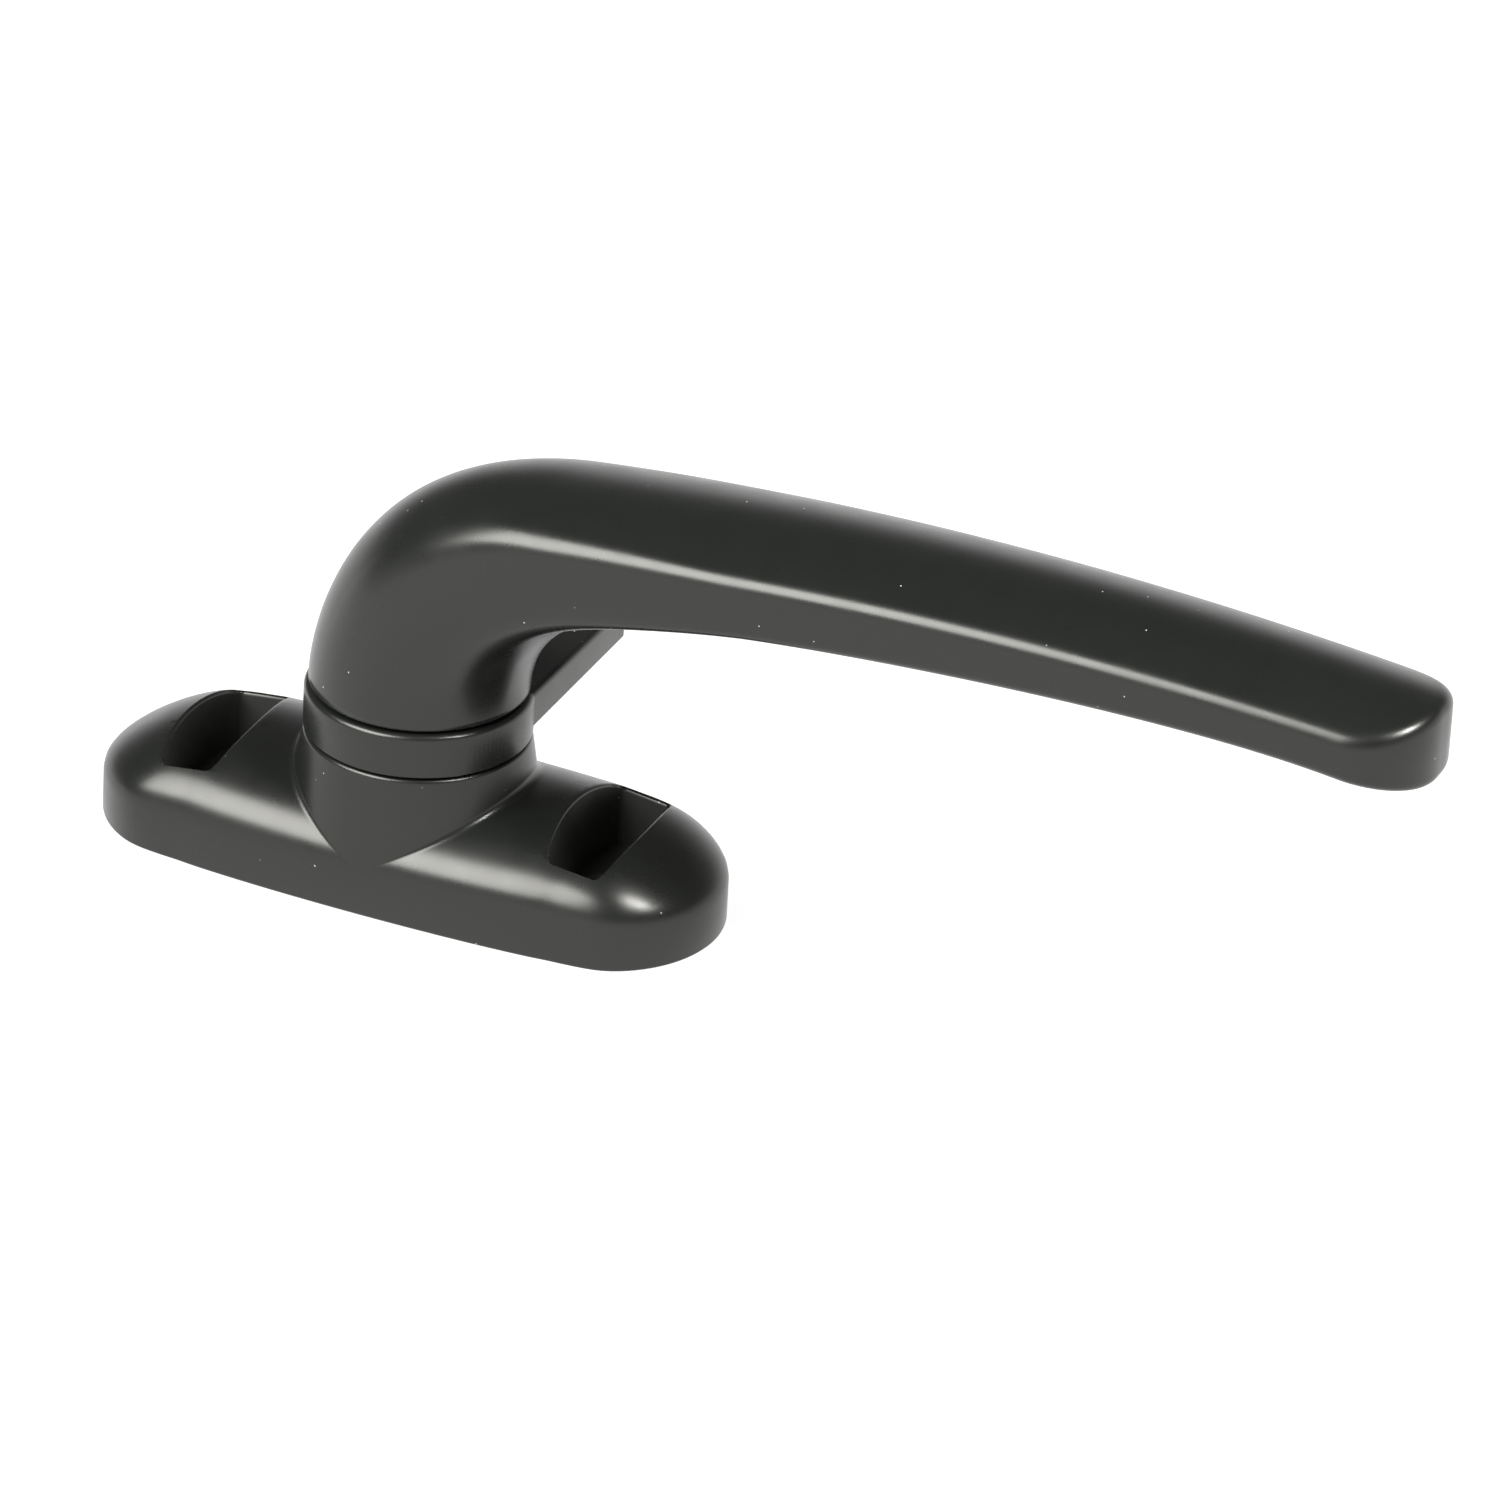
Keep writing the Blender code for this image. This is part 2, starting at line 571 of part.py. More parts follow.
def cover_screws():
    """Four countersunk screws, each with a cross recess."""
    head = COVER_HEIGHT - 0.5 * FACE_GAP
    profile = [(COVER_SCREW_HEAD, 0.1 * MM), (COVER_SCREW_RADIUS, head),
               (COVER_SCREW_RADIUS, COVER_SCREW_LENGTH - 0.4 * MM),
               (COVER_SCREW_RADIUS - 0.4 * MM, COVER_SCREW_LENGTH)]
    recess = [prism(rounded_box(CROSS_REACH, CROSS_HALF_WIDTH, 0.1 * MM, 2), 0, CROSS_DEPTH),
              prism(rounded_box(CROSS_HALF_WIDTH, CROSS_REACH, 0.1 * MM, 2), 0, CROSS_DEPTH)]
    blades = [guide(f"cross_recess_{n}_cut", shape) for n, shape in enumerate(recess, 1)]
    for number, place in enumerate(cover_screw_places(), 1):
        shape = turned(profile, SMALL_STEPS)
        screw = place_piece(f"cover_screw_{number}", shape, plated_steel(), location=place)
        for blade in blades:
            tool = guide(f"{blade.name}_{number}", bmesh_of(blade), place)
            boolean(screw, tool)
    for blade in blades:
        bpy.data.objects.remove(blade, do_unlink=True)


def bmesh_of(shape):
    bm = bmesh.new()
    bm.from_mesh(shape.data)
    return bm


# ---- Pieces that turn with the lever ---------------------------------------------------------
def spindle(axis):
    """Square top, round journal and square foot, tapped at the bottom."""
    low = STOP_DISC_FOOT + 0.5 * FACE_GAP
    journal_top = BOSS_TOP + THRUST_WASHER_PROUD - 0.1 * MM
    chamfer = 0.4 * MM
    profile = [(JOURNAL_RADIUS - chamfer, JOURNAL_FOOT), (JOURNAL_RADIUS, JOURNAL_FOOT + chamfer),
               (JOURNAL_RADIUS, journal_top - chamfer), (JOURNAL_RADIUS - chamfer, journal_top)]
    shaft = place_piece("spindle", turned(profile, ROUND_STEPS), plated_steel(), axis)
    top = prism(rounded_box(0.5 * SPINDLE_SQUARE, 0.5 * SPINDLE_SQUARE, SPINDLE_CORNER, 2),
                journal_top - CUT_MARGIN, SPINDLE_TOP)
    foot = prism(rounded_box(0.5 * FOOT_SQUARE, 0.5 * FOOT_SQUARE, SPINDLE_CORNER, 2),
                 low, JOURNAL_FOOT + CUT_MARGIN)
    thread = prism(circle(RETAINING_SCREW_RADIUS + RUNNING_FIT, SMALL_STEPS), low - CUT_MARGIN,
                   HEAD_FOOT + RETAINING_HEAD_HEIGHT + RETAINING_SCREW_LENGTH + CUT_MARGIN)
    boolean(shaft, guide("spindle_top_shape", top), "UNION")
    boolean(shaft, guide("spindle_foot_shape", foot), "UNION")
    boolean(shaft, guide("spindle_thread_cut", thread))


def index_cam(axis):
    """Rounded square cam, a quarter turn between its flats."""
    half = 0.5 * CAM_SQUARE
    shape = prism(rounded_box(half, half, CAM_CORNER, 6), CAM_FOOT, CAM_FOOT + CAM_HEIGHT)
    cam = place_piece("index_cam", shape, acetal(), axis)
    hole = prism(square(FOOT_SQUARE + 2 * SQUARE_FIT), CAM_FOOT - CUT_MARGIN,
                 CAM_FOOT + CAM_HEIGHT + CUT_MARGIN)
    boolean(cam, guide("cam_hole_cut", hole))


def stop_disc(axis):
    """Disc with an arc notch that lets the lever swing between its two stops."""
    notch_root = STOP_PIN_PLACE - STOP_PIN_RADIUS - FACE_GAP
    margin = math.asin((STOP_PIN_RADIUS + 0.5 * FACE_GAP) / STOP_PIN_PLACE)
    start, end = SWING + margin, 2 * math.pi - margin
    rim = arc((0, 0), STOP_DISC_RADIUS, start, end, 36)
    root = arc((0, 0), notch_root, -margin, SWING + margin, 12)
    high = STOP_DISC_FOOT + STOP_DISC_HEIGHT
    disc = place_piece("stop_disc", prism(rim + root, STOP_DISC_FOOT, high), plated_steel(), axis)
    hole = prism(square(FOOT_SQUARE + 2 * SQUARE_FIT), STOP_DISC_FOOT - CUT_MARGIN,
                 high + CUT_MARGIN)
    boolean(disc, guide("disc_hole_cut", hole))


def wave_washer(axis):
    """Spring washer with three waves, between the cam and the bush's flange."""
    inner, outer = BUSH_BORE + RUNNING_FIT, WAVE_WASHER_RADIUS
    rings = []
    for step in range(ROUND_STEPS):
        turn = 2 * math.pi * step / ROUND_STEPS
        low = WAVE_FOOT + 0.5 * WAVE_WASHER_RISE * (1 + math.cos(3 * turn))
        high = low + WAVE_WASHER_HEIGHT
        section = ((inner, low), (outer, low), (outer, high), (inner, high))
        rings.append([(r * math.cos(turn), r * math.sin(turn), z) for r, z in section])
    place_piece("wave_washer", loft(rings, closed=True), spring_steel(), axis)


def flat_washer(axis):
    low = FLAT_WASHER_FOOT
    inner = RETAINING_SCREW_RADIUS + RUNNING_FIT
    shape = washer(inner, FLAT_WASHER_RADIUS, low, low + FLAT_WASHER_HEIGHT)
    place_piece("flat_washer", shape, plated_steel(), axis)


def retaining_screw(axis):
    """Socket screw that holds the stack on the spindle's foot."""
    head_top = HEAD_FOOT + RETAINING_HEAD_HEIGHT
    end = head_top + RETAINING_SCREW_LENGTH
    chamfer = 0.3 * MM
    profile = [(RETAINING_HEAD_RADIUS - chamfer, HEAD_FOOT),
               (RETAINING_HEAD_RADIUS, HEAD_FOOT + chamfer), (RETAINING_HEAD_RADIUS, head_top),
               (RETAINING_SCREW_RADIUS, head_top), (RETAINING_SCREW_RADIUS, end - chamfer),
               (RETAINING_SCREW_RADIUS - chamfer, end)]
    screw = place_piece("retaining_screw", turned(profile, SMALL_STEPS), plated_steel(), axis)
    socket = prism(hexagon(HEX_KEY), HEAD_FOOT - CUT_MARGIN, HEAD_FOOT + RETAINING_SOCKET)
    boolean(screw, guide("retaining_socket_cut", socket))


def lever_set_screw(axis):
    """Grub screw in the far side of the neck, tight against the spindle's flat."""
    near = 0.5 * SPINDLE_SQUARE + FACE_GAP
    far = near + SET_SCREW_LENGTH
    chamfer = 0.5 * MM
    profile = [(SET_SCREW_RADIUS - chamfer, near), (SET_SCREW_RADIUS, near + chamfer),
               (SET_SCREW_RADIUS, far - chamfer), (SET_SCREW_RADIUS - chamfer, far)]
    height = NECK_FOOT + SET_SCREW_RISE
    screw = place_piece("lever_set_screw", laid_along_y(turned(profile, SMALL_STEPS)),
                        plated_steel(), axis, (0, 0, height))
    socket = laid_along_y(prism(hexagon(HEX_KEY), far - SET_SCREW_SOCKET, far + CUT_MARGIN))
    boolean(screw, guide("set_screw_socket_cut", socket, (0, 0, height)))


def nose_outline(inset):
    """Plan of the nose, from inside the ring to its rounded corners, anticlockwise."""
    half = NOSE_HALF_WIDTH - inset
    end = NOSE_REACH - inset
    corner = NOSE_CORNER
    right = arc((half - corner, end - corner), corner, 0, math.pi / 2, 4)
    left = arc((corner - half, end - corner), corner, math.pi / 2, math.pi, 4)
    return [(half, 0)] + right + left + [(-half, 0)]


def nose_ring(axis):
    """The round collar and the broad nose that latches behind the striker."""
    low_edge = 0.3 * MM
    edge_centre = (RING_RADIUS - RING_EDGE, RING_TOP - RING_EDGE)
    profile = [(RING_RADIUS - low_edge, RING_FOOT), (RING_RADIUS, RING_FOOT + low_edge)]
    profile += arc(edge_centre, RING_EDGE, 0, math.pi / 2, EDGE_STEPS)
    ring = place_piece("nose_ring", turned(profile, 2 * ROUND_STEPS), powder_coat(), axis)

    def underside(y):
        share = y / NOSE_REACH
        return RING_TOP - NOSE_ROOT_HEIGHT + (NOSE_ROOT_HEIGHT - NOSE_TIP_HEIGHT) * share

    rings = [[(x, y, underside(y)) for x, y in nose_outline(low_edge)],
             [(x, y, underside(y) + low_edge) for x, y in nose_outline(0)]]
    for step in range(EDGE_STEPS + 1):
        turn = 0.5 * math.pi * step / EDGE_STEPS
        inset = RING_EDGE * (1 - math.cos(turn))
        height = RING_TOP - RING_EDGE * (1 - math.sin(turn))
        rings.append([(x, y, height) for x, y in nose_outline(inset)])
    boolean(ring, guide("nose_shape", loft(rings)), "UNION")
    hole = prism(square(SPINDLE_SQUARE + 2 * SQUARE_FIT), RING_FOOT - CUT_MARGIN,
                 RING_TOP + CUT_MARGIN)
    boolean(ring, guide("ring_hole_cut", hole))


# ---- Lever -----------------------------------------------------------------------------------
def bezier_run(knots, steps=80):
    """A smooth run through (x, z, handle back, handle forward) knots, as fine (x, z) points."""
    run = []
    for (x0, z0, _, out), (x1, z1, back, _) in zip(knots, knots[1:]):
        piece = interpolate_bezier(Vector((x0, z0)), Vector((x0, z0)) + Vector(out),
                                   Vector((x1, z1)) + Vector(back), Vector((x1, z1)), steps)
        run += [(point.x, point.y) for point in (piece[1:] if run else piece)]
    return run


def along(slope, length):
    """A curve's handle: an (x, z) step of one length in X on a slope."""
    return (length, slope * length)


def lever_top_run():
    """The lever's upper line in side view, from the neck's foot to the tip."""
    back, forward = SHOULDER_PULLS
    return bezier_run([
        (-NECK_RADIUS, NECK_FOOT, None, (0, UPPER_NECK_PULL)),
        (SHOULDER_X, NECK_FOOT + SHOULDER_RISE,
         along(SHOULDER_SLOPE, -back), along(SHOULDER_SLOPE, forward)),
        (LEVER_REACH, NECK_FOOT + UPPER_TIP_RISE, along(UPPER_TIP_SLOPE, -UPPER_TIP_PULL), None)])


def lever_low_run():
    """The lever's lower line in side view, from the neck's foot to the tip."""
    back, forward = THROAT_PULLS
    return bezier_run([
        (NECK_RADIUS, NECK_FOOT, None, (0, LOWER_NECK_PULL)),
        (THROAT_X, NECK_FOOT + THROAT_RISE,
         along(THROAT_SLOPE, -back), along(THROAT_SLOPE, forward)),
        (LEVER_REACH, NECK_FOOT + LOWER_TIP_RISE, along(LOWER_TIP_SLOPE, -LOWER_TIP_PULL), None)])


def split_run(run, x):
    """The part of a run up to an X, and its height there."""
    after = min(sum(point[0] < x for point in run), len(run) - 1)
    (x0, z0), (x1, z1) = run[after - 1], run[after]
    height = z0 + (z1 - z0) * (x - x0) / (x1 - x0)
    return run[:after] + [(x, height)], height


def ease(share):
    share = min(max(share, 0.0), 1.0)
    return share * share * (3 - 2 * share)


# Points in each stretch of a half section: crown, top edge, side, low edge, underside
SECTION_STEPS = (5, 4, 3, 3, 3)
# Where those stretches end on the round neck, as angles from its outer line
NECK_ANGLES = tuple(math.radians(a) for a in (0, 45, 65, 112, 132, 180))


def crown_end(half_width, edge):
    """How far out the crowned top reaches before its edge rounding starts."""
    return half_width - edge * (1 - math.sin(GRIP_CROWN))


def section_points(half_width, half_height, edge):
    """Half of the grip's section as (outward, height) points from the crown down."""
    reach = crown_end(half_width, edge)
    sag = 0.5 * reach * math.tan(GRIP_CROWN)
    centre = half_height - sag - edge * math.cos(GRIP_CROWN)
    foot = GRIP_LOW_EDGE - half_height
    crown, top_edge, side, low_edge, under = SECTION_STEPS
    points = []
    for step in range(crown):
        share = step / crown
        points.append((reach * share, half_height - sag * share ** 2))
    for step in range(top_edge):
        turn = GRIP_CROWN + (0.5 * math.pi - GRIP_CROWN) * step / top_edge
        points.append((half_width - edge * (1 - math.sin(turn)), centre + edge * math.cos(turn)))
    for step in range(side):
        points.append((half_width, centre + (foot - centre) * step / side))
    for step in range(low_edge):
        turn = 0.5 * math.pi * step / low_edge
        points.append((half_width - GRIP_LOW_EDGE * (1 - math.cos(turn)),
                       foot - GRIP_LOW_EDGE * math.sin(turn)))
    for step in range(under + 1):
        points.append(((half_width - GRIP_LOW_EDGE) * (1 - step / under), -half_height))
    return points


def neck_points(half_width, half_height):
    """Half of the round neck's section, with the same number of points."""
    points = []
    for steps, start, end in zip(SECTION_STEPS, NECK_ANGLES, NECK_ANGLES[1:]):
        for step in range(steps):
            turn = start + (end - start) * step / steps
            points.append((half_width * math.sin(turn), half_height * math.cos(turn)))
    return points + [(0.0, -half_height)]


def blended_section(low, top, half_width, edge, squareness):
    """One whole ring of the lever between its lower and upper line."""
    middle = (0.5 * (low[0] + top[0]), 0.5 * (low[1] + top[1]))
    half_height = 0.5 * math.dist(low, top)
    up = ((top[0] - low[0]) / (2 * half_height), (top[1] - low[1]) / (2 * half_height))
    boxy = section_points(half_width, half_height, edge)
    round_ = neck_points(half_width, half_height)
    half = [(r[0] + (b[0] - r[0]) * squareness, r[1] + (b[1] - r[1]) * squareness)
            for r, b in zip(round_, boxy)]
    front = [(middle[0] + up[0] * h, -w, middle[1] + up[1] * h) for w, h in half]
    back = [(x, -y, z) for x, y, z in reversed(front[1:-1])]
    return front + back


def lever_rings():
    """The lever's rings from the neck's foot to the start of the rounded tip."""
    top_run, low_run = lever_top_run(), lever_low_run()
    top_bend, _ = split_run(top_run, BEND_END)
    low_bend, _ = split_run(low_run, BEND_END)
    rings = []
    stations = zip(even_points(low_bend, BEND_STEPS), even_points(top_bend, BEND_STEPS))
    for step, (low, top) in enumerate(stations):
        share = step / BEND_STEPS
        half_width = NECK_RADIUS + (GRIP_HALF_WIDTH - NECK_RADIUS) * ease(share / WIDTH_SETTLES)
        edge = NECK_TOP_EDGE + (GRIP_TOP_EDGE - NECK_TOP_EDGE) * ease(share)
        rings.append(blended_section(low, top, half_width, edge, ease(share)))
    tip_start = LEVER_REACH - TIP_CORNER
    for step in range(1, ARM_STEPS + 1):
        share = step / ARM_STEPS
        x = BEND_END + (tip_start - BEND_END) * share
        half_width = GRIP_HALF_WIDTH + (TIP_HALF_WIDTH - GRIP_HALF_WIDTH) * share
        low, top = split_run(low_run, x)[1], split_run(top_run, x)[1]
        rings.append(blended_section((x, low), (x, top), half_width, GRIP_TOP_EDGE, 1.0))
    return rings


def tip_rim():
    """Points on the tip's outline in plan, each with its outward direction."""
    core = TIP_HALF_WIDTH - TIP_CORNER
    centre_x = LEVER_REACH - TIP_CORNER
    rim = []
    for step in range(1, TIP_STEPS + 1):
        turn = 0.5 * math.pi * step / TIP_STEPS
        out_x, out_y = math.sin(turn), -math.cos(turn)
        rim.append((centre_x + TIP_CORNER * out_x, TIP_CORNER * out_y - core, out_x, out_y))
    return rim + [(x, -y, out_x, -out_y) for x, y, out_x, out_y in reversed(rim)]


def tip_stations():
    """Half sections carried round the tip, from its front side to its back side."""
    top_run, low_run = lever_top_run(), lever_low_run()
    tip_start = LEVER_REACH - TIP_CORNER
    start_height = split_run(top_run, tip_start)[1] - split_run(low_run, tip_start)[1]
    half = section_points(TIP_HALF_WIDTH, 0.5 * start_height, GRIP_TOP_EDGE)
    first, last = SECTION_STEPS[0], len(half) - 1 - SECTION_STEPS[-1]
    above = first + SECTION_STEPS[1]
    stations = []
    for rim_x, rim_y, out_x, out_y in tip_rim():
        station = []
        for index, (outward, height) in enumerate(half):
            edge = half[min(max(index, first), last)][0]
            inset = TIP_HALF_WIDTH - edge
            share = outward / edge if index < first or index > last else 1.0
            x = tip_start + (rim_x - out_x * inset - tip_start) * share
            y = (rim_y - out_y * inset) * share
            low, top = lever_heights(low_run, top_run, x)
            if index < above:
                z = top + height - 0.5 * start_height + crown_drop(outward) - crown_drop(y)
            else:
                z = low + height + 0.5 * start_height
            station.append((x, y, z))
        stations.append(station)
    return stations


def lever_heights(low_run, top_run, x):
    """Heights of the lever's lower and upper line at one X, up to its very end."""
    reach = min(x, low_run[-1][0] * (1 - 1e-9))
    return split_run(low_run, reach)[1], split_run(top_run, reach)[1]


def crown_drop(y):
    """How far the crowned top of the tip lies below its middle line."""
    return 0.5 * math.tan(GRIP_CROWN) * y ** 2 / crown_end(TIP_HALF_WIDTH, GRIP_TOP_EDGE)


def lever_body():
    """The whole lever as one closed bmesh."""
    rings = lever_rings()
    bm = bmesh.new()
    rows = [[bm.verts.new(point) for point in ring] for ring in rings]
    count = len(rings[0])
    for near, far in zip(rows, rows[1:]):
        for i in range(count):
            j = (i + 1) % count
            bm.faces.new((near[i], near[j], far[j], far[i]))
    bm.faces.new(rows[0])
    last = rows[-1]
    half = count // 2
    crown, sole = last[0], last[half]
    front = last[:half + 1]
    back = [last[0]] + list(reversed(last[half:]))
    inner = [[crown] + [bm.verts.new(point) for point in station[1:-1]] + [sole]
             for station in tip_stations()]
    rows = [front] + inner + [back]
    for near, far in zip(rows, rows[1:]):
        for k in range(half):
            corners = [near[k], near[k + 1], far[k + 1], far[k]]
            bm.faces.new(list(dict.fromkeys(corners)))
    return bm


def lever(axis):
    """The round neck that bends into the crowned grip, with a blind square socket."""
    grip = place_piece("lever", lever_body(), powder_coat(), axis)
    socket = prism(square(SPINDLE_SQUARE + 2 * SQUARE_FIT), NECK_FOOT - CUT_MARGIN,
                   SPINDLE_TOP + FACE_GAP)
    boolean(grip, guide("socket_cut", socket))
    hole = laid_along_y(prism(circle(SET_SCREW_RADIUS + RUNNING_FIT, SMALL_STEPS),
                              0.25 * SPINDLE_SQUARE, NECK_RADIUS + CUT_MARGIN))
    boolean(grip, guide("set_screw_cut", hole, (0, 0, NECK_FOOT + SET_SCREW_RISE)))


def build_handle():
    """Builds the fixed pieces, then the turning pieces on their axis."""
    clear_scene()
    base_housing()
    spindle_bush()
    thrust_washer()
    index_spring("index_spring_front", -1)
    index_spring("index_spring_rear", 1)
    stop_pin()
    base_cover()
    cover_screws()
    axis = axis_empty("handle_axis", (0, 0, 0))
    for piece in (spindle, index_cam, stop_disc, wave_washer, flat_washer, retaining_screw,
                  lever_set_screw, nose_ring, lever):
        piece(axis)


build_handle()
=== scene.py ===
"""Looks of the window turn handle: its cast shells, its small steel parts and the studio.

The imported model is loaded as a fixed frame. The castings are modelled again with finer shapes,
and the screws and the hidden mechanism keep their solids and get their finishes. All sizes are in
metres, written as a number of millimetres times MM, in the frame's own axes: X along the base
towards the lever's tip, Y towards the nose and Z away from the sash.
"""
import logging
import math
from dataclasses import dataclass
from enum import Enum

import bmesh
import bpy
from mathutils import Matrix, Vector
from mathutils.geometry import interpolate_bezier


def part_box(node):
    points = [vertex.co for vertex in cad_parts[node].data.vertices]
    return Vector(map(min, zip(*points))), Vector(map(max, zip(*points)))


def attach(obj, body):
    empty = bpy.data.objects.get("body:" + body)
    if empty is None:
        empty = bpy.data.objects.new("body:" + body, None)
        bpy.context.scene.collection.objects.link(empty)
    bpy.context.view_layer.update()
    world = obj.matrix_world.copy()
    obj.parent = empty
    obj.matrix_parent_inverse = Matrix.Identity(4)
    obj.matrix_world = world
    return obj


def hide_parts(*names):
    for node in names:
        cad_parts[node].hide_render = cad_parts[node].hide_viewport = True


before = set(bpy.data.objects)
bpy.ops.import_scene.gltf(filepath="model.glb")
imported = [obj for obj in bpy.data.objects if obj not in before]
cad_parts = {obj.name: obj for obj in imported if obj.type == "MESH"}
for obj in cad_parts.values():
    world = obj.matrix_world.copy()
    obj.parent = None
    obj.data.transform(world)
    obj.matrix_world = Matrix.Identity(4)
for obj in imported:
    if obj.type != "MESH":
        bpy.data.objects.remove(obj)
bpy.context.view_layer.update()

MM = 0.001
THROUGH = 1 * MM            # how far a cutter runs past the face that it cuts
BORE_STEPS = 96             # points round a wide bore
SCREW_STEPS = 48            # points round a screw's hole
PIN_STEPS = 24              # points round a small hole
NOISE_SPAN = (0.3, 0.7)     # the middle of a noise's range, where most of its values lie
SPECK_CORE = 0.6            # share of a speck's radius that it covers fully
JUST_SHORT = 1e-9           # keeps a place on a line just short of the line's end
log = logging.getLogger("handle")

Point = tuple[float, float, float]
Flat = tuple[float, float]


class Body(Enum):
    """The two bodies of the handle's one joint."""

    BASE = "base"
    HANDLE = "handle"


class Slot(Enum):
    """The record's material slots."""

    POWDER_COAT = "powder_coat"
    PLATED_STEEL = "plated_steel"
    SPRING_STEEL = "spring_steel"
    ACETAL = "acetal"


# ---- Outlines --------------------------------------------------------------------------------
def arc(centre: Flat, radius: float, start: float, end: float, steps: int) -> list[Flat]:
    """Gives points on an arc, both ends included.

    Args:
        centre: The arc's centre.
        radius: The arc's radius.
        start: Its first angle in radians.
        end: Its last angle in radians.
        steps: How many stretches it is divided into.

    Returns:
        The points, one more than the steps.
    """
    turns = [start + (end - start) * step / steps for step in range(steps + 1)]
    return [(centre[0] + radius * math.cos(t), centre[1] + radius * math.sin(t)) for t in turns]


def circle(radius: float, steps: int, centre: Flat = (0, 0)) -> list[Flat]:
    """Gives a closed circle, anticlockwise."""
    return arc(centre, radius, 0, 2 * math.pi, steps)[:-1]


def rounded_box(half_x: float, half_y: float, corner: float, steps: int) -> list[Flat]:
    """Gives the outline of a rectangle with round corners.

    Args:
        half_x: Half its length along X.
        half_y: Half its length along Y.
        corner: The radius of its corners.
        steps: The stretches in each corner.

    Returns:
        The closed outline, anticlockwise.
    """
    outline = []
    for quarter, (sx, sy) in enumerate(((1, 1), (-1, 1), (-1, -1), (1, -1))):
        start = quarter * math.pi / 2
        centre = (sx * (half_x - corner), sy * (half_y - corner))
        outline += arc(centre, corner, start, start + math.pi / 2, steps)
    return outline


def square_outline(half: float) -> list[Flat]:
    """Gives a square's four corners, anticlockwise."""
    return [(half, half), (-half, half), (-half, -half), (half, -half)]


def level(outline: list[Flat], height: float) -> list[Point]:
    """Lifts a flat outline to one height."""
    return [(x, y, height) for x, y in outline]


def even_points(curve: list[Flat], steps: int) -> list[Flat]:
    """Gives points at even distances along a fine curve.

    Args:
        curve: The fine curve.
        steps: How many stretches it is divided into.

    Returns:
        The points, both ends included.
    """
    lengths = [0.0]
    for near, far in zip(curve, curve[1:]):
        lengths.append(lengths[-1] + math.dist(near, far))
    points = []
    index = 0
    for step in range(steps + 1):
        target = lengths[-1] * step / steps
        while index < len(curve) - 2 and lengths[index + 1] < target:
            index += 1
        share = (target - lengths[index]) / (lengths[index + 1] - lengths[index])
        (x0, z0), (x1, z1) = curve[index], curve[index + 1]
        points.append((x0 + (x1 - x0) * share, z0 + (z1 - z0) * share))
    return points


# ---- Modelling steps -------------------------------------------------------------------------
def deselect_all() -> None:
    """Deselects every object, so that an operator acts only on what is selected next."""
    for thing in bpy.context.selected_objects:
        thing.select_set(False)


def take(piece: bpy.types.Object) -> None:
    """Selects one object and makes it the active one.

    Args:
        piece: The object.
    """
    deselect_all()
    piece.select_set(True)
    bpy.context.view_layer.objects.active = piece


def put_ring(piece: bpy.types.Object, ring: list[Point]) -> None:
    """Puts the selected points of a mesh in edit mode at their numbered places in a ring.

    Args:
        piece: The object in edit mode.
        ring: The ring's points in order.
    """
    mesh = bmesh.from_edit_mesh(piece.data)
    number = mesh.verts.layers.int["number"]
    for vert in mesh.verts:
        if vert.select:
            vert.co = ring[vert[number]]
    bmesh.update_edit_mesh(piece.data)


def start_solid(name: str, ring: list[Point]) -> bpy.types.Object:
    """Adds a filled circle and shapes it into a solid's first ring, left in edit mode.

    Args:
        name: The new object's name.
        ring: The first ring's points in order.

    Returns:
        The new object, with each point numbered by its place in the ring.
    """
    deselect_all()
    bpy.ops.mesh.primitive_circle_add(vertices=len(ring), radius=math.hypot(*ring[0][:2]) or MM,
                                      fill_type="NGON")
    piece = bpy.context.object
    piece.name = piece.data.name = name
    bpy.ops.object.mode_set(mode="EDIT")
    mesh = bmesh.from_edit_mesh(piece.data)
    number = mesh.verts.layers.int.new("number")
    for index, vert in enumerate(mesh.verts):
        vert[number] = index
    bmesh.update_edit_mesh(piece.data)
    put_ring(piece, ring)
    return piece


def grow(piece: bpy.types.Object, rings: list[list[Point]]) -> None:
    """Extrudes the selected face or edges once for each ring, and shapes each new ring.

    Args:
        piece: The object in edit mode.
        rings: The new rings, each with its points in order.
    """
    for ring in rings:
        bpy.ops.mesh.extrude_region_move()
        put_ring(piece, ring)


def end_solid(piece: bpy.types.Object) -> bpy.types.Object:
    """Turns all faces outwards and leaves edit mode.

    Args:
        piece: The object in edit mode.

    Returns:
        The same object.
    """
    bpy.ops.mesh.select_all(action="SELECT")
    bpy.ops.mesh.normals_make_consistent(inside=False)
    bpy.ops.object.mode_set(mode="OBJECT")
    return piece


def solid(name: str, rings: list[list[Point]]) -> bpy.types.Object:
    """Grows a closed solid from its first ring through all the others.

    Args:
        name: The new object's name.
        rings: Its rings, each with the same number of points.

    Returns:
        The new solid.
    """
    piece = start_solid(name, rings[0])
    grow(piece, rings[1:])
    return end_solid(piece)


def prism(name: str, outline: list[Flat], low: float, high: float) -> bpy.types.Object:
    """Extrudes a flat outline from one height to another."""
    return solid(name, [level(outline, low), level(outline, high)])


def turned(name: str, profile: list[Flat], steps: int) -> bpy.types.Object:
    """Grows a round solid from a profile of radii and heights.

    Args:
        name: The new object's name.
        profile: Its (radius, height) points from one end to the other.
        steps: The points in each of its rings.

    Returns:
        The new solid, turned about Z.
    """
    return solid(name, [level(circle(radius, steps), height) for radius, height in profile])


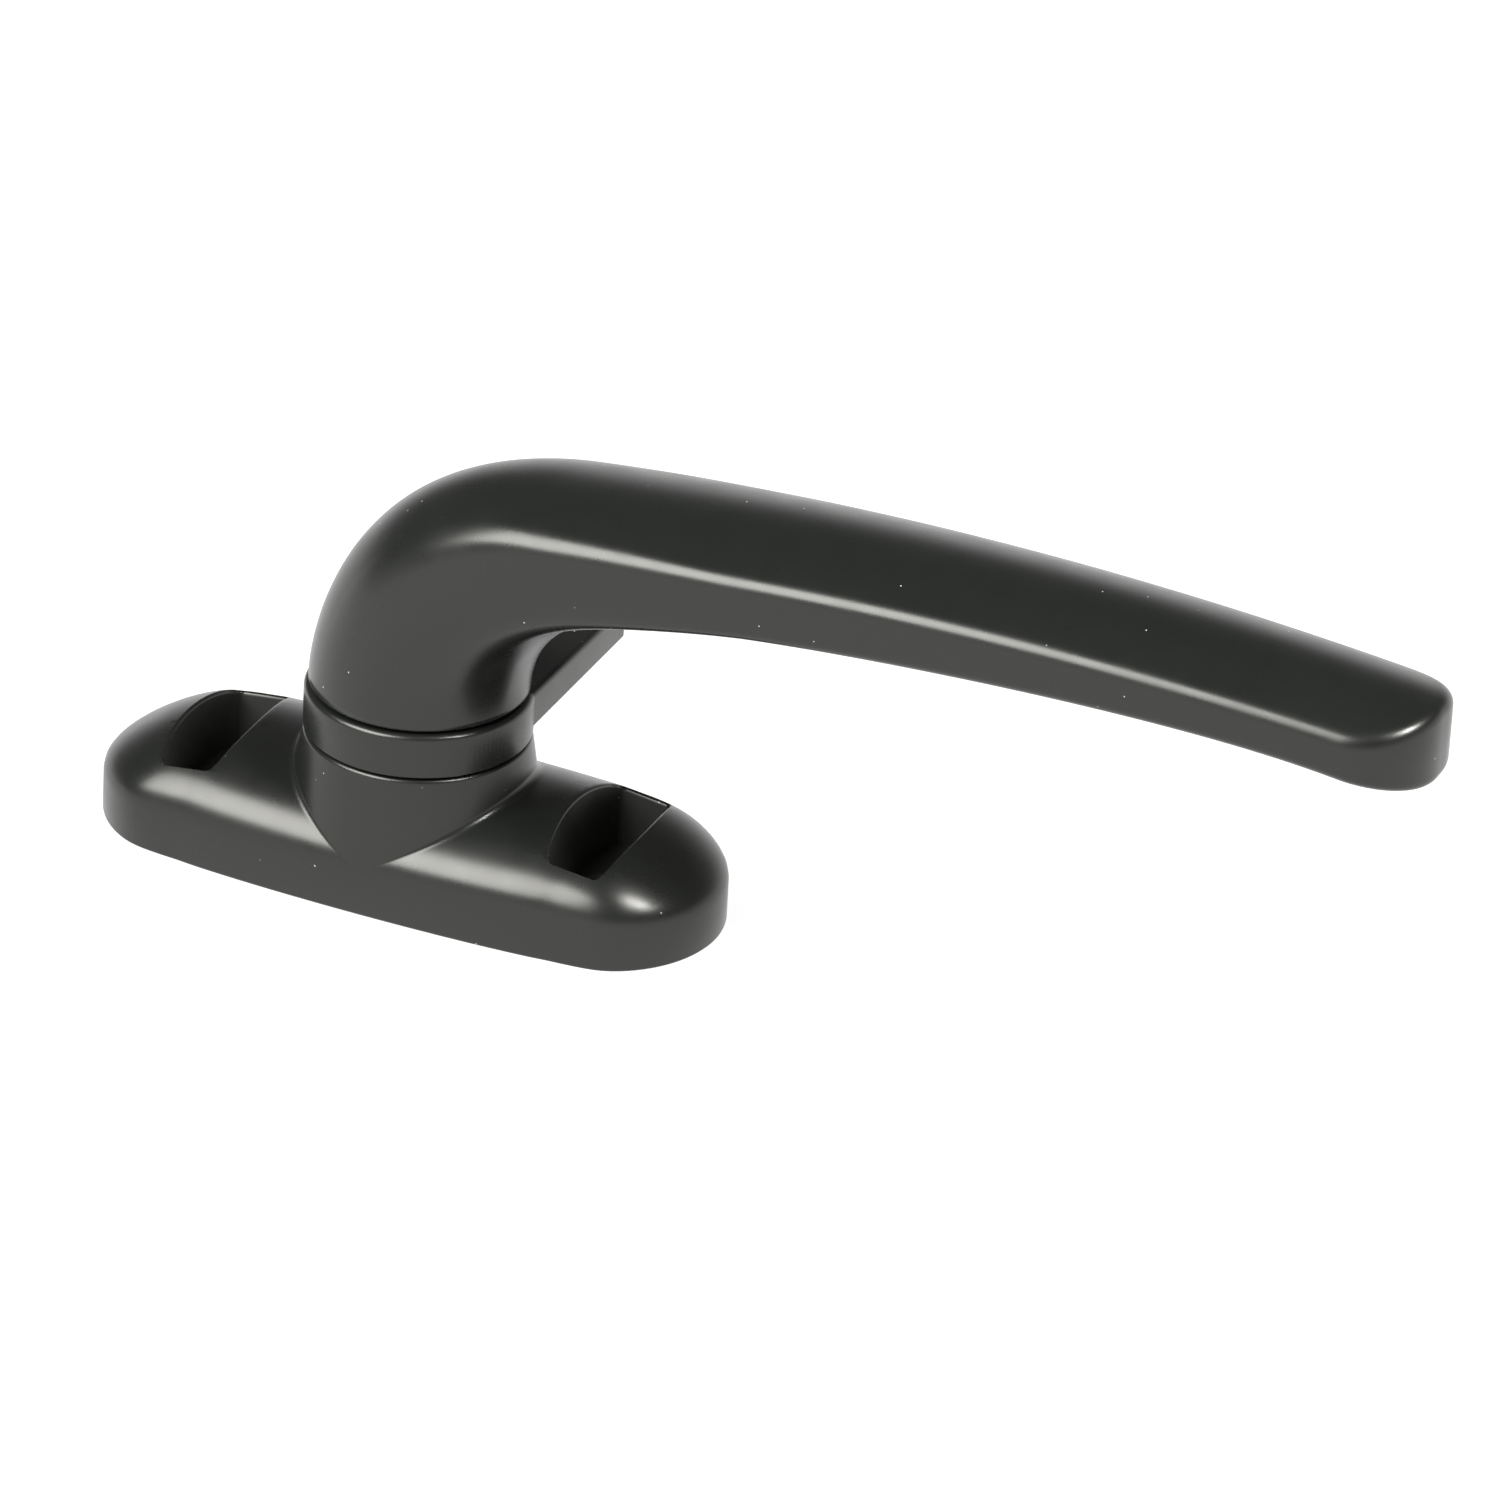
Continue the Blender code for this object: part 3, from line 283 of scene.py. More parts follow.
def moved(piece: bpy.types.Object, step: Point) -> bpy.types.Object:
    """Moves a piece's mesh and leaves its object at the origin.

    Args:
        piece: The piece.
        step: How far its mesh moves along each axis.

    Returns:
        The same piece.
    """
    take(piece)
    bpy.ops.object.mode_set(mode="EDIT")
    bpy.ops.mesh.select_all(action="SELECT")
    bpy.ops.transform.translate(value=step)
    bpy.ops.object.mode_set(mode="OBJECT")
    return piece


def combine(piece: bpy.types.Object, tools: list[bpy.types.Object],
            operation: str = "DIFFERENCE") -> None:
    """Cuts solids from a piece, or joins them on, and removes them.

    Args:
        piece: The piece that changes.
        tools: The solids that cut it or join it.
        operation: DIFFERENCE to cut, UNION to join.
    """
    for tool in tools:
        modifier = piece.modifiers.new(tool.name, "BOOLEAN")
        modifier.operation = operation
        modifier.solver = "EXACT"
        modifier.object = tool
        take(piece)
        bpy.ops.object.modifier_apply(modifier=modifier.name)
        bpy.data.objects.remove(tool, do_unlink=True)


def dressed(piece: bpy.types.Object, finish: bpy.types.Material, body: Body, slot: Slot,
            *nodes: str) -> None:
    """Gives a finished piece its finish, hangs it on its body and hides the nodes that it stands
    for.

    Args:
        piece: The new piece.
        finish: Its material.
        body: The body that it rides on.
        slot: The material slot of its finish; not used.
        nodes: The CAD nodes that it replaces.
    """
    piece.data.materials.clear()
    piece.data.materials.append(finish)
    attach(piece, body.value)
    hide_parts(*nodes)
    log.info("%s: %d faces on %s", piece.name, len(piece.data.polygons), body.value)


def smooth(piece: bpy.types.Object, degrees: float = 38) -> None:
    """Shades a piece smooth, except across edges sharper than an angle."""
    take(piece)
    bpy.ops.object.shade_smooth_by_angle(angle=math.radians(degrees))


# ---- Finishes --------------------------------------------------------------------------------
class NodeTree:
    """A material's nodes, with short ways to add textures and to join them."""

    def __init__(self, name: str) -> None:
        """Makes a plain Principled material.

        Args:
            name: The material's name.
        """
        self.material = bpy.data.materials.new(name)
        self.material.use_nodes = True
        self.tree = self.material.node_tree
        self.shader = self.tree.nodes["Principled BSDF"]
        self.place = self.tree.nodes.new("ShaderNodeTexCoord").outputs["Object"]

    def node(self, kind: str, **values: float) -> bpy.types.Node:
        """Adds a node and sets its inputs by name.

        Args:
            kind: The node's type.
            values: Its inputs, with underscores for spaces.

        Returns:
            The new node.
        """
        node = self.tree.nodes.new(kind)
        for name, value in values.items():
            node.inputs[name.replace("_", " ")].default_value = value
        return node

    def join(self, start: bpy.types.NodeSocket, end: bpy.types.NodeSocket) -> None:
        """Links an output to an input."""
        self.tree.links.new(start, end)

    def noise(self, scale: float, detail: float = 2.0,
              stretch: Point = (1, 1, 1)) -> bpy.types.NodeSocket:
        """Adds a noise in object space.

        Args:
            scale: Waves to the metre.
            detail: How many finer layers it has.
            stretch: Its scale along each axis.

        Returns:
            The noise's value.
        """
        mapping = self.tree.nodes.new("ShaderNodeMapping")
        mapping.inputs["Scale"].default_value = stretch
        self.join(self.place, mapping.inputs["Vector"])
        noise = self.node("ShaderNodeTexNoise", Scale=scale, Detail=detail)
        self.join(mapping.outputs["Vector"], noise.inputs["Vector"])
        return noise.outputs["Fac"]

    def specks(self, scale: float, size: float) -> bpy.types.NodeSocket:
        """Adds sparse round specks, white on black.

        Args:
            scale: Cells to the metre.
            size: A speck's radius as a share of its cell.

        Returns:
            The specks' value.
        """
        cells = self.node("ShaderNodeTexVoronoi", Scale=scale)
        self.join(self.place, cells.inputs["Vector"])
        return self.ranged(cells.outputs["Distance"], (size, size * SPECK_CORE), (0, 1))

    def ranged(self, value: bpy.types.NodeSocket, source: Flat,
               result: Flat) -> bpy.types.NodeSocket:
        """Maps a value from one range to another and clamps it.

        Args:
            value: The value that is mapped.
            source: The two ends of its own range.
            result: What they become.

        Returns:
            The mapped value.
        """
        node = self.node("ShaderNodeMapRange", From_Min=source[0], From_Max=source[1],
                         To_Min=result[0], To_Max=result[1])
        self.join(value, node.inputs["Value"])
        return node.outputs["Result"]

    def mixed(self, share: bpy.types.NodeSocket, low: Point | bpy.types.NodeSocket,
              high: Point) -> bpy.types.NodeSocket:
        """Mixes two colours by a value.

        Args:
            share: The value, 0 for the first colour and 1 for the second.
            low: The first colour, fixed or from another node.
            high: The second colour.

        Returns:
            The mixed colour.
        """
        mix = self.tree.nodes.new("ShaderNodeMix")
        mix.data_type = "RGBA"
        mix.inputs["B"].default_value = (*high, 1)
        if isinstance(low, tuple):
            mix.inputs["A"].default_value = (*low, 1)
        else:
            self.join(low, mix.inputs["A"])
        self.join(share, mix.inputs["Factor"])
        return mix.outputs["Result"]

    def bump(self, height: bpy.types.NodeSocket, distance: float,
             under: bpy.types.NodeSocket | None = None) -> bpy.types.NodeSocket:
        """Adds a bump.

        Args:
            height: The bump's height from 0 to 1.
            distance: The height of 1 in metres.
            under: The normal of a bump below it.

        Returns:
            The new normal.
        """
        node = self.node("ShaderNodeBump", Strength=1.0, Distance=distance)
        self.join(height, node.inputs["Height"])
        if under:
            self.join(under, node.inputs["Normal"])
        return node.outputs["Normal"]

    def finished(self, colour: bpy.types.NodeSocket, rough: bpy.types.NodeSocket,
                 normal: bpy.types.NodeSocket) -> bpy.types.Material:
        """Links a finish's colour, roughness and normal to the shader.

        Args:
            colour: Its colour.
            rough: Its roughness.
            normal: Its bumped normal.

        Returns:
            The finished material.
        """
        for value, name in ((colour, "Base Color"), (rough, "Roughness"), (normal, "Normal")):
            self.join(value, self.shader.inputs[name])
        return self.material


@dataclass(frozen=True)
class PowderCoat:
    """Satin charcoal powder coat with a fine orange peel and a little dust."""

    colour: Point = (0.0062, 0.0070, 0.0062)
    faded: Point = (0.0080, 0.0090, 0.0079)
    dust: Point = (0.42, 0.42, 0.40)
    gloss_tint: Point = (1.0, 0.99, 0.94)
    roughness: Flat = (0.26, 0.31)
    fade_waves: float = 70.0
    rough_waves: float = 220.0
    peel_waves: float = 1100.0
    peel_height: float = 0.0006 * MM
    drift_waves: float = 160.0
    drift_height: float = 0.0010 * MM
    dust_cells: float = 300.0
    dust_size: float = 0.036

    def material(self, name: str) -> bpy.types.Material:
        """Makes the coat's material.

        Args:
            name: The material's name.

        Returns:
            The material.
        """
        tree = NodeTree(name)
        tree.shader.inputs["Specular Tint"].default_value = (*self.gloss_tint, 1)
        colour = tree.mixed(tree.noise(self.fade_waves, 3), self.colour, self.faded)
        dust = tree.specks(self.dust_cells, self.dust_size)
        rough = tree.ranged(tree.noise(self.rough_waves, 4), NOISE_SPAN, self.roughness)
        drift = tree.bump(tree.noise(self.drift_waves, 1), self.drift_height)
        peel = tree.bump(tree.noise(self.peel_waves, 2), self.peel_height, drift)
        return tree.finished(tree.mixed(dust, colour, self.dust), rough, peel)


@dataclass(frozen=True)
class Metal:
    """Bare or plated steel with fine drawn lines and a faint stain."""

    colour: Point
    stain: Point
    roughness: Flat
    lines: Point = (1, 1, 24)
    stain_waves: float = 130.0
    rough_waves: float = 260.0
    line_waves: float = 420.0
    line_height: float = 0.002 * MM

    def material(self, name: str) -> bpy.types.Material:
        """Makes the metal's material.

        Args:
            name: The material's name.

        Returns:
            The material.
        """
        tree = NodeTree(name)
        tree.shader.inputs["Metallic"].default_value = 1.0
        colour = tree.mixed(tree.noise(self.stain_waves, 4), self.colour, self.stain)
        rough = tree.ranged(tree.noise(self.rough_waves, 5, self.lines), NOISE_SPAN,
                            self.roughness)
        lines = tree.bump(tree.noise(self.line_waves, 3, self.lines), self.line_height)
        return tree.finished(colour, rough, lines)


@dataclass(frozen=True)
class Acetal:
    """Natural moulded acetal, waxy and slightly translucent."""

    colour: Point = (0.74, 0.73, 0.68)
    flow: Point = (0.68, 0.66, 0.60)
    roughness: Flat = (0.36, 0.48)
    glow_share: float = 0.15
    glow_depth: float = 0.6 * MM
    flow_waves: float = 90.0
    rough_waves: float = 300.0
    grain_waves: float = 700.0
    grain_height: float = 0.003 * MM

    def material(self, name: str) -> bpy.types.Material:
        """Makes the plastic's material.

        Args:
            name: The material's name.

        Returns:
            The material.
        """
        tree = NodeTree(name)
        tree.shader.inputs["Subsurface Weight"].default_value = self.glow_share
        tree.shader.inputs["Subsurface Scale"].default_value = self.glow_depth
        colour = tree.mixed(tree.noise(self.flow_waves, 3), self.colour, self.flow)
        rough = tree.ranged(tree.noise(self.rough_waves, 3), NOISE_SPAN, self.roughness)
        grain = tree.bump(tree.noise(self.grain_waves, 2), self.grain_height)
        return tree.finished(colour, rough, grain)


# ---- Base ------------------------------------------------------------------------------------
@dataclass
class Base:
    """The cast base: a long dome round a boss, with two screw windows."""

    end_centre: float = 25.6 * MM
    end_radius: float = 15.1 * MM
    half_width: float = 15.756 * MM
    side_radius: float = 290 * MM
    side_height: float = 5.4 * MM
    dome_rise: float = 8.6 * MM
    end_fall: float = 0.43
    ridge: float = 21.5 * MM
    foot_edge: float = 0.35 * MM
    boss_radius: float = 14 * MM
    boss_draft: float = 0.135
    boss_fillet: float = 1.2 * MM
    boss_edge: float = 0.6 * MM
    window_centre: float = 25.95 * MM
    window_half_x: float = 3.35 * MM
    window_half_y: float = 10.5 * MM
    window_bulge: float = 1.3 * MM
    window_corner: float = 0.7 * MM
    window_rim: float = 0.45 * MM
    window_floor: float = 3.4 * MM
    rim_angles: tuple[int, ...] = (0, 18, 36, 54, 70)
    rim_flare: float = 1.6
    rim_flare_rise: float = 0.35
    window_clearing: float = 6 * MM
    coat_limits: tuple[float, ...] = (0.2, 0.6, 1.2)
    screw_hole: float = 2.6 * MM
    sink: float = 0.5 * MM
    end_wall: float = 2.4 * MM
    end_core_height: float = 5.7 * MM
    bush_radius: float = 7.3 * MM
    bush_flange: float = 1.3 * MM
    slot_corner: float = 1 * MM
    ledge_corner: float = 2 * MM
    cover_hole: float = 1.3 * MM
    gap: float = 0.3 * MM
    slide_gap: float = 0.2 * MM
    turning_gap: float = 0.5 * MM
    side_steps: int = 44
    end_steps: int = 48
    dome_steps: int = 30
    curve_steps: int = 240
    fillet_steps: int = 12
    edge_steps: int = 6
    foot_steps: int = 3
    bow_steps: int = 20
    core_steps: int = 24
    sharp_angle: float = 32
    corner_blend: float = 0.04
    end_release: float = 2.5
    search: Flat = (0.8, 1.2)
    search_rounds: int = 24
    fillet_rounds: int = 12

    def side_width(self, x: float) -> float:
        """Half the base's width between its bowed long sides."""
        return self.half_width - self.side_radius + math.sqrt(self.side_radius ** 2 - x ** 2)

    def share(self, x: float, y: float) -> float:
        """How far out a place is.

        Args:
            x: Its place along the base.
            y: Its place across the base.

        Returns:
            A share from 0 on the ridge to 1 on the outline.
        """
        side = abs(y) / self.side_width(x)
        beyond = (abs(x) - self.end_centre) / self.end_radius
        across = abs(y) / self.end_radius
        if beyond > 0:
            end = math.hypot(beyond, across)
        else:
            end = across - self.end_release * beyond ** 2
        return 0.5 * (side + end + math.hypot(side - end, self.corner_blend))

    def dome(self, x: float, y: float) -> float:
        """Height of the dome over one place.

        Args:
            x: The place along the base.
            y: The place across the base.

        Returns:
            The height above the sash.
        """
        reach = self.end_centre + self.end_radius - self.ridge
        along = max(abs(x) - self.ridge, 0) / reach
        rise = self.dome_rise * (1 - self.end_fall * along ** 2)
        return self.side_height + rise * math.sqrt(1 - min(self.share(x, y), 1.0) ** 2)

    def outline(self) -> list[Flat]:
        """Finds the base's outline in plan, where the share is 1.

        Returns:
            The closed outline, anticlockwise.
        """
        outline = []
        for x, y in even_loop(self.end_centre, self.end_radius, self.side_steps, self.end_steps):
            low, high = self.search
            for _ in range(self.search_rounds):
                scale = 0.5 * (low + high)
                if self.share(scale * x, scale * y) < 1:
                    low = scale
                else:
                    high = scale
            outline.append((scale * x, scale * y))
        return outline

    def profile(self, direction: Flat, reach: float, top: float) -> list[Flat]:
        """The base's outer profile in one direction from the axis.

        Args:
            direction: The direction in plan.
            reach: How far the outline lies in that direction.
            top: The height of the boss.

        Returns:
            The (distance, height) points from the foot to the boss's top.
        """
        curve = []
        for step in range(self.curve_steps + 1):
            turn = 0.5 * math.pi * step / self.curve_steps
            distance = reach - (reach - self.boss_radius) * (1 - math.cos(turn))
            height = self.dome(direction[0] * distance, direction[1] * distance)
            curve.append((distance, height))
        centre, touch = self.fillet_circle(curve, top)
        start = math.atan2(curve[touch][1] - centre[1], curve[touch][0] - centre[0])
        lean = math.atan(self.boss_draft)
        fillet = arc(centre, self.boss_fillet, start % (2 * math.pi), math.pi + lean,
                     self.fillet_steps)[1:]
        edge = arc((self.boss_radius - self.boss_edge, top - self.boss_edge), self.boss_edge,
                   lean, math.pi / 2, self.edge_steps)
        foot = arc((reach - self.foot_edge, self.foot_edge), self.foot_edge,
                   -math.pi / 2, 0, self.foot_steps)
        return foot + even_points(curve[:touch + 1], self.dome_steps) + fillet + edge

    def fillet_circle(self, curve: list[Flat], top: float) -> tuple[Flat, int]:
        """Finds the circle that rests on the dome and on the boss's slanting wall.

        Args:
            curve: Fine points on the dome in one direction.
            top: The height of the boss.

        Returns:
            The circle's centre and the index of the point on the curve that it rests on.
        """
        height = top
        for _ in range(self.fillet_rounds):
            wall = self.boss_radius + self.boss_draft * (top - height)
            middle = wall + self.boss_fillet * math.hypot(1, self.boss_draft)
            rests = []
            for index, (s, z) in enumerate(curve):
                if abs(s - middle) < self.boss_fillet:
                    rests.append((z + math.sqrt(self.boss_fillet ** 2 - (s - middle) ** 2), index))
            height, touch = max(rests)
        return (middle, height), max(touch, 1)

    def shell(self) -> bpy.types.Object:
        """Grows the base's outside from its foot to the boss's top.

        Returns:
            The solid without its windows and hollows.
        """
        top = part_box("base_housing")[1][2]
        columns = []
        for x, y in self.outline():
            reach = math.hypot(x, y)
            direction = (x / reach, y / reach)
            columns.append([(direction[0] * s, direction[1] * s, z)
                            for s, z in self.profile(direction, reach, top)])
        return solid("base_casting", [list(ring) for ring in zip(*columns)])

    def window(self, side: int) -> bpy.types.Object:
        """Grows the cutter of one screw window, flared into a rounded rim at the dome.

        Args:
            side: 1 for the right window, -1 for the left one.

        Returns:
            The cutter.
        """
        radius = (self.window_half_y ** 2 + self.window_bulge ** 2) / (2 * self.window_bulge)
        reach = math.asin(self.window_half_y / radius)
        bow = arc((self.window_half_x + self.window_bulge - radius, 0), radius, -reach, reach,
                  self.bow_steps)
        bow = rounded_ends(bow, self.window_corner)
        outline = [(x + side * self.window_centre, y)
                   for x, y in bow + [(-x, -y) for x, y in bow]]
        outwards = outward_normals(outline)
        rings = [level(outline, self.window_floor)]
        for angle in self.rim_angles:
            turn = math.radians(angle)
            ring = []
            for (x, y), (nx, ny) in zip(outline, outwards):
                inset = self.window_rim * (1 - math.cos(turn))
                centre = self.dome(x + nx * self.window_rim, y + ny * self.window_rim)
                z = centre - self.window_rim * (1 - math.sin(turn))
                ring.append((x + nx * inset, y + ny * inset, z))
            rings.append(ring)
        flare, rise = self.rim_flare * self.window_rim, self.rim_flare_rise * self.window_rim
        rings.append([(x + nx * flare, y + ny * flare, z + rise)
                      for (x, y, z), (nx, ny) in zip(rings[-1], outwards)])
        rings.append([(x, y, z + self.window_clearing) for x, y, z in rings[-1]])
        return solid(f"window_cutter_{side}", rings)

    def cutters(self) -> list[bpy.types.Object]:
        """Grows every cutter of the base: windows, screw holes, cores and the mechanism's room.

        Returns:
            The cutters in the order in which they cut.
        """
        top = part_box("base_housing")[1][2] + THROUGH
        washer_low, washer_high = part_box("thrust_washer")
        cover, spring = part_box("base_cover")[1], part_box("index_spring_rear")[1]
        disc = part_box("stop_disc")[1][0] + self.turning_gap
        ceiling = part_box("spindle_bush")[0][2] + self.bush_flange
        ledge = rounded_box(cover[0] + self.gap, cover[1] + self.gap, self.ledge_corner, 6)
        slot = rounded_box(spring[0] + self.turning_gap, spring[1] + self.gap,
                           self.slot_corner, 4)
        bore = circle(self.bush_radius + self.slide_gap, BORE_STEPS)
        seat = circle(washer_high[0] + self.gap, BORE_STEPS)
        cuts = [prism("bore_cutter", bore, -THROUGH, top),
                prism("seat_cutter", seat, washer_low[2] - self.gap, top),
                prism("cavity_cutter", circle(disc, BORE_STEPS), -THROUGH, ceiling),
                prism("slot_cutter", slot, -THROUGH, spring[2] + self.gap),
                prism("ledge_cutter", ledge, -THROUGH, cover[2] + self.gap),
                self.pin_hole()]
        for side in (1, -1):
            cuts += [self.window(side), self.screw_hole_cutter(side), self.end_core(side)]
        for number in range(1, 5):
            low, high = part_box(f"cover_screw_{number}")
            place = (0.5 * (low[0] + high[0]), 0.5 * (low[1] + high[1]))
            hole = circle(self.cover_hole, PIN_STEPS, place)
            cuts.append(prism(f"cover_hole_{number}_cutter", hole, cover[2], high[2] + self.gap))
        return cuts

    def pin_hole(self) -> bpy.types.Object:
        """Grows the cutter of the stop pin's hole.

        Returns:
            The cutter.
        """
        low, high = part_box("stop_pin")
        place = (0.5 * (low[0] + high[0]), 0)
        hole = circle(0.5 * (high[0] - low[0]) + self.slide_gap, PIN_STEPS, place)
        return prism("pin_cutter", hole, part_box("spindle_bush")[0][2], high[2] + self.gap)

    def screw_hole_cutter(self, side: int) -> bpy.types.Object:
        """Grows the cutter of one screw hole, with a shallow countersink in the floor.

        Args:
            side: 1 for the right window, -1 for the left one.

        Returns:
            The cutter.
        """
        profile = [(self.screw_hole, -THROUGH),
                   (self.screw_hole, self.window_floor - self.sink),
                   (self.screw_hole + 2 * self.sink, self.window_floor + self.sink)]
        cutter = turned(f"screw_cutter_{side}", profile, SCREW_STEPS)
        return moved(cutter, (side * self.window_centre, 0, 0))

    def end_core(self, side: int) -> bpy.types.Object:
        """Grows the cutter of the hollow under one round end.

        Args:
            side: 1 for the right end, -1 for the left one.

        Returns:
            The cutter.
        """
        near = self.window_centre + self.window_half_x + self.window_bulge + self.end_wall
        radius = self.end_radius - self.end_wall
        reach = math.acos((near - self.end_centre) / radius)
        bow = arc((self.end_centre, 0), radius, -reach, reach, self.core_steps)
        return prism(f"core_cutter_{side}", [(side * x, side * y) for x, y in bow], -THROUGH,
                     self.end_core_height)

    def in_window(self, place: Vector) -> bool:
        """Says whether a place is on a wall or floor of a window, below its rim.

        Args:
            place: The place.

        Returns:
            Whether the coat is rough there.
        """
        beside, under, below_rim = (limit * self.window_rim for limit in self.coat_limits)
        off_x = abs(abs(place.x) - self.window_centre) - self.window_half_x - self.window_bulge
        off_y = abs(place.y) - self.window_half_y
        low = self.window_floor - under
        high = self.dome(place.x, place.y) - below_rim
        return max(off_x, off_y) < beside and low < place.z < high

    def build(self, coat: bpy.types.Material, inner_coat: bpy.types.Material) -> None:
        """Makes the whole casting and dresses it, with a rougher coat inside the windows.

        Args:
            coat: The finish of the outside.
            inner_coat: The finish inside the two windows.
        """
        casting = self.shell()
        combine(casting, self.cutters())
        smooth(casting, self.sharp_angle)
        dressed(casting, coat, Body.BASE, Slot.POWDER_COAT, "base_housing")
        casting.data.materials.append(inner_coat)
        for face in casting.data.polygons:
            face.material_index = int(self.in_window(face.center))


def even_loop(half_spacing: float, radius: float, side_steps: int, end_steps: int) -> list[Flat]:
    """Gives a closed loop of two round ends and two straight sides, anticlockwise.

    Args:
        half_spacing: Half the distance between the ends' centres.
        radius: The ends' radius.
        side_steps: The stretches along each side.
        end_steps: The stretches round each end.

    Returns:
        The loop's points.
    """
    end = arc((half_spacing, 0), radius, -math.pi / 2, math.pi / 2, end_steps)
    side = [(half_spacing * (1 - 2 * step / side_steps), radius) for step in range(1, side_steps)]
    half = end + side
    return half + [(-x, -y) for x, y in half]


def outward_normals(outline: list[Flat]) -> list[Flat]:
    """Gives the outward direction at each point of an outline.

    Args:
        outline: The closed outline, anticlockwise.

    Returns:
        A unit direction for each point.
    """
    normals = []
    for index in range(len(outline)):
        x0, y0 = outline[index - 1]
        x1, y1 = outline[(index + 1) % len(outline)]
        length = math.hypot(x1 - x0, y1 - y0)
        normals.append(((y1 - y0) / length, (x0 - x1) / length))
    return normals


def rounded_ends(bow: list[Flat], radius: float, steps: int = 5) -> list[Flat]:
    """Rounds the two corners where a bow meets the straight ends of a window.

    Args:
        bow: The bow's points, from its low end to its high end, bulging to +X.
        radius: The corners' radius.
        steps: The stretches in each corner.

    Returns:
        The bow with a round corner in place of each end point.
    """
    x_end, y_end = bow[-1]
    centre = (x_end - radius, y_end - radius)
    corner = arc(centre, radius, 0, math.pi / 2, steps)
    inner = [point for point in bow if abs(point[1]) < y_end - radius]
    low = [(x, -y) for x, y in reversed(corner)]
    return low + inner + corner


# ---- Nose ring -------------------------------------------------------------------------------
@dataclass
class NoseRing:
    """The collar and the broad nose that latches behind the striker."""

    radius: float = 14 * MM
    edge: float = 0.8 * MM
    low_edge: float = 0.15 * MM
    lowered: float = 0.15 * MM
    reach: float = 31.5 * MM
    half_width: float = 13.3 * MM
    root_height: float = 4.8 * MM
    tip_height: float = 4.3 * MM
    corner: float = 1.6 * MM
    throat: float = 1.8 * MM
    square: float = 4.3 * MM
    overlap: float = 2 * MM
    edge_steps: int = 6
    throat_steps: int = 6
    corner_steps: int = 8
    back_steps: int = 84

    def plan(self) -> list[Flat]:
        """Draws the collar and the nose in plan, with a small fillet where they meet.

        Returns:
            The closed outline, anticlockwise.
        """
        inner = self.half_width + self.throat
        drop = math.sqrt((self.radius + self.throat) ** 2 - inner ** 2)
        meet = math.atan2(drop, inner)
        fillet = arc((inner, drop), self.throat, meet + math.pi, math.pi, self.throat_steps)
        end = arc((self.half_width - self.corner, self.reach - self.corner), self.corner,
                  0, math.pi / 2, self.corner_steps)
        right = fillet + end
        left = [(-x, y) for x, y in reversed(right)]
        back = arc((0, 0), self.radius, math.pi - meet, 2 * math.pi + meet,
                   self.back_steps)[1:-1]
        return right + left + back

    def build(self, coat: bpy.types.Material) -> None:
        """Makes the collar with its nose and dresses it.

        Args:
            coat: Its finish.
        """
        low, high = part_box("nose_ring")
        plan = self.plan()
        normals = outward_normals(plan)

        def inset(amount: float) -> list[Flat]:
            """Gives the plan drawn in by an amount."""
            return [(x - nx * amount, y - ny * amount)
                    for (x, y), (nx, ny) in zip(plan, normals)]

        def underside(y: float) -> float:
            """Gives the height of the nose's underside, which rises towards its tip."""
            share = min(max(y / self.reach, 0), 1)
            return high[2] - self.root_height + (self.root_height - self.tip_height) * share

        rings = [[(x, y, underside(y)) for x, y in inset(self.low_edge)],
                 [(x, y, underside(y) + self.low_edge) for x, y in plan]]
        for step in range(self.edge_steps + 1):
            turn = 0.5 * math.pi * step / self.edge_steps
            height = high[2] - self.edge * (1 - math.sin(turn))
            rings.append(level(inset(self.edge * (1 - math.cos(turn))), height))
        ring = solid("nose_casting", rings)
        base = low[2] - self.lowered
        foot = [(self.radius - self.low_edge, base), (self.radius, base + self.low_edge),
                (self.radius, high[2] - self.overlap)]
        combine(ring, [turned("collar_foot", foot, 2 * self.back_steps)], "UNION")
        combine(ring, [prism("square_cutter", square_outline(self.square), low[2] - THROUGH,
                             high[2] + THROUGH)])
        smooth(ring)
        dressed(ring, coat, Body.HANDLE, Slot.POWDER_COAT, "nose_ring")


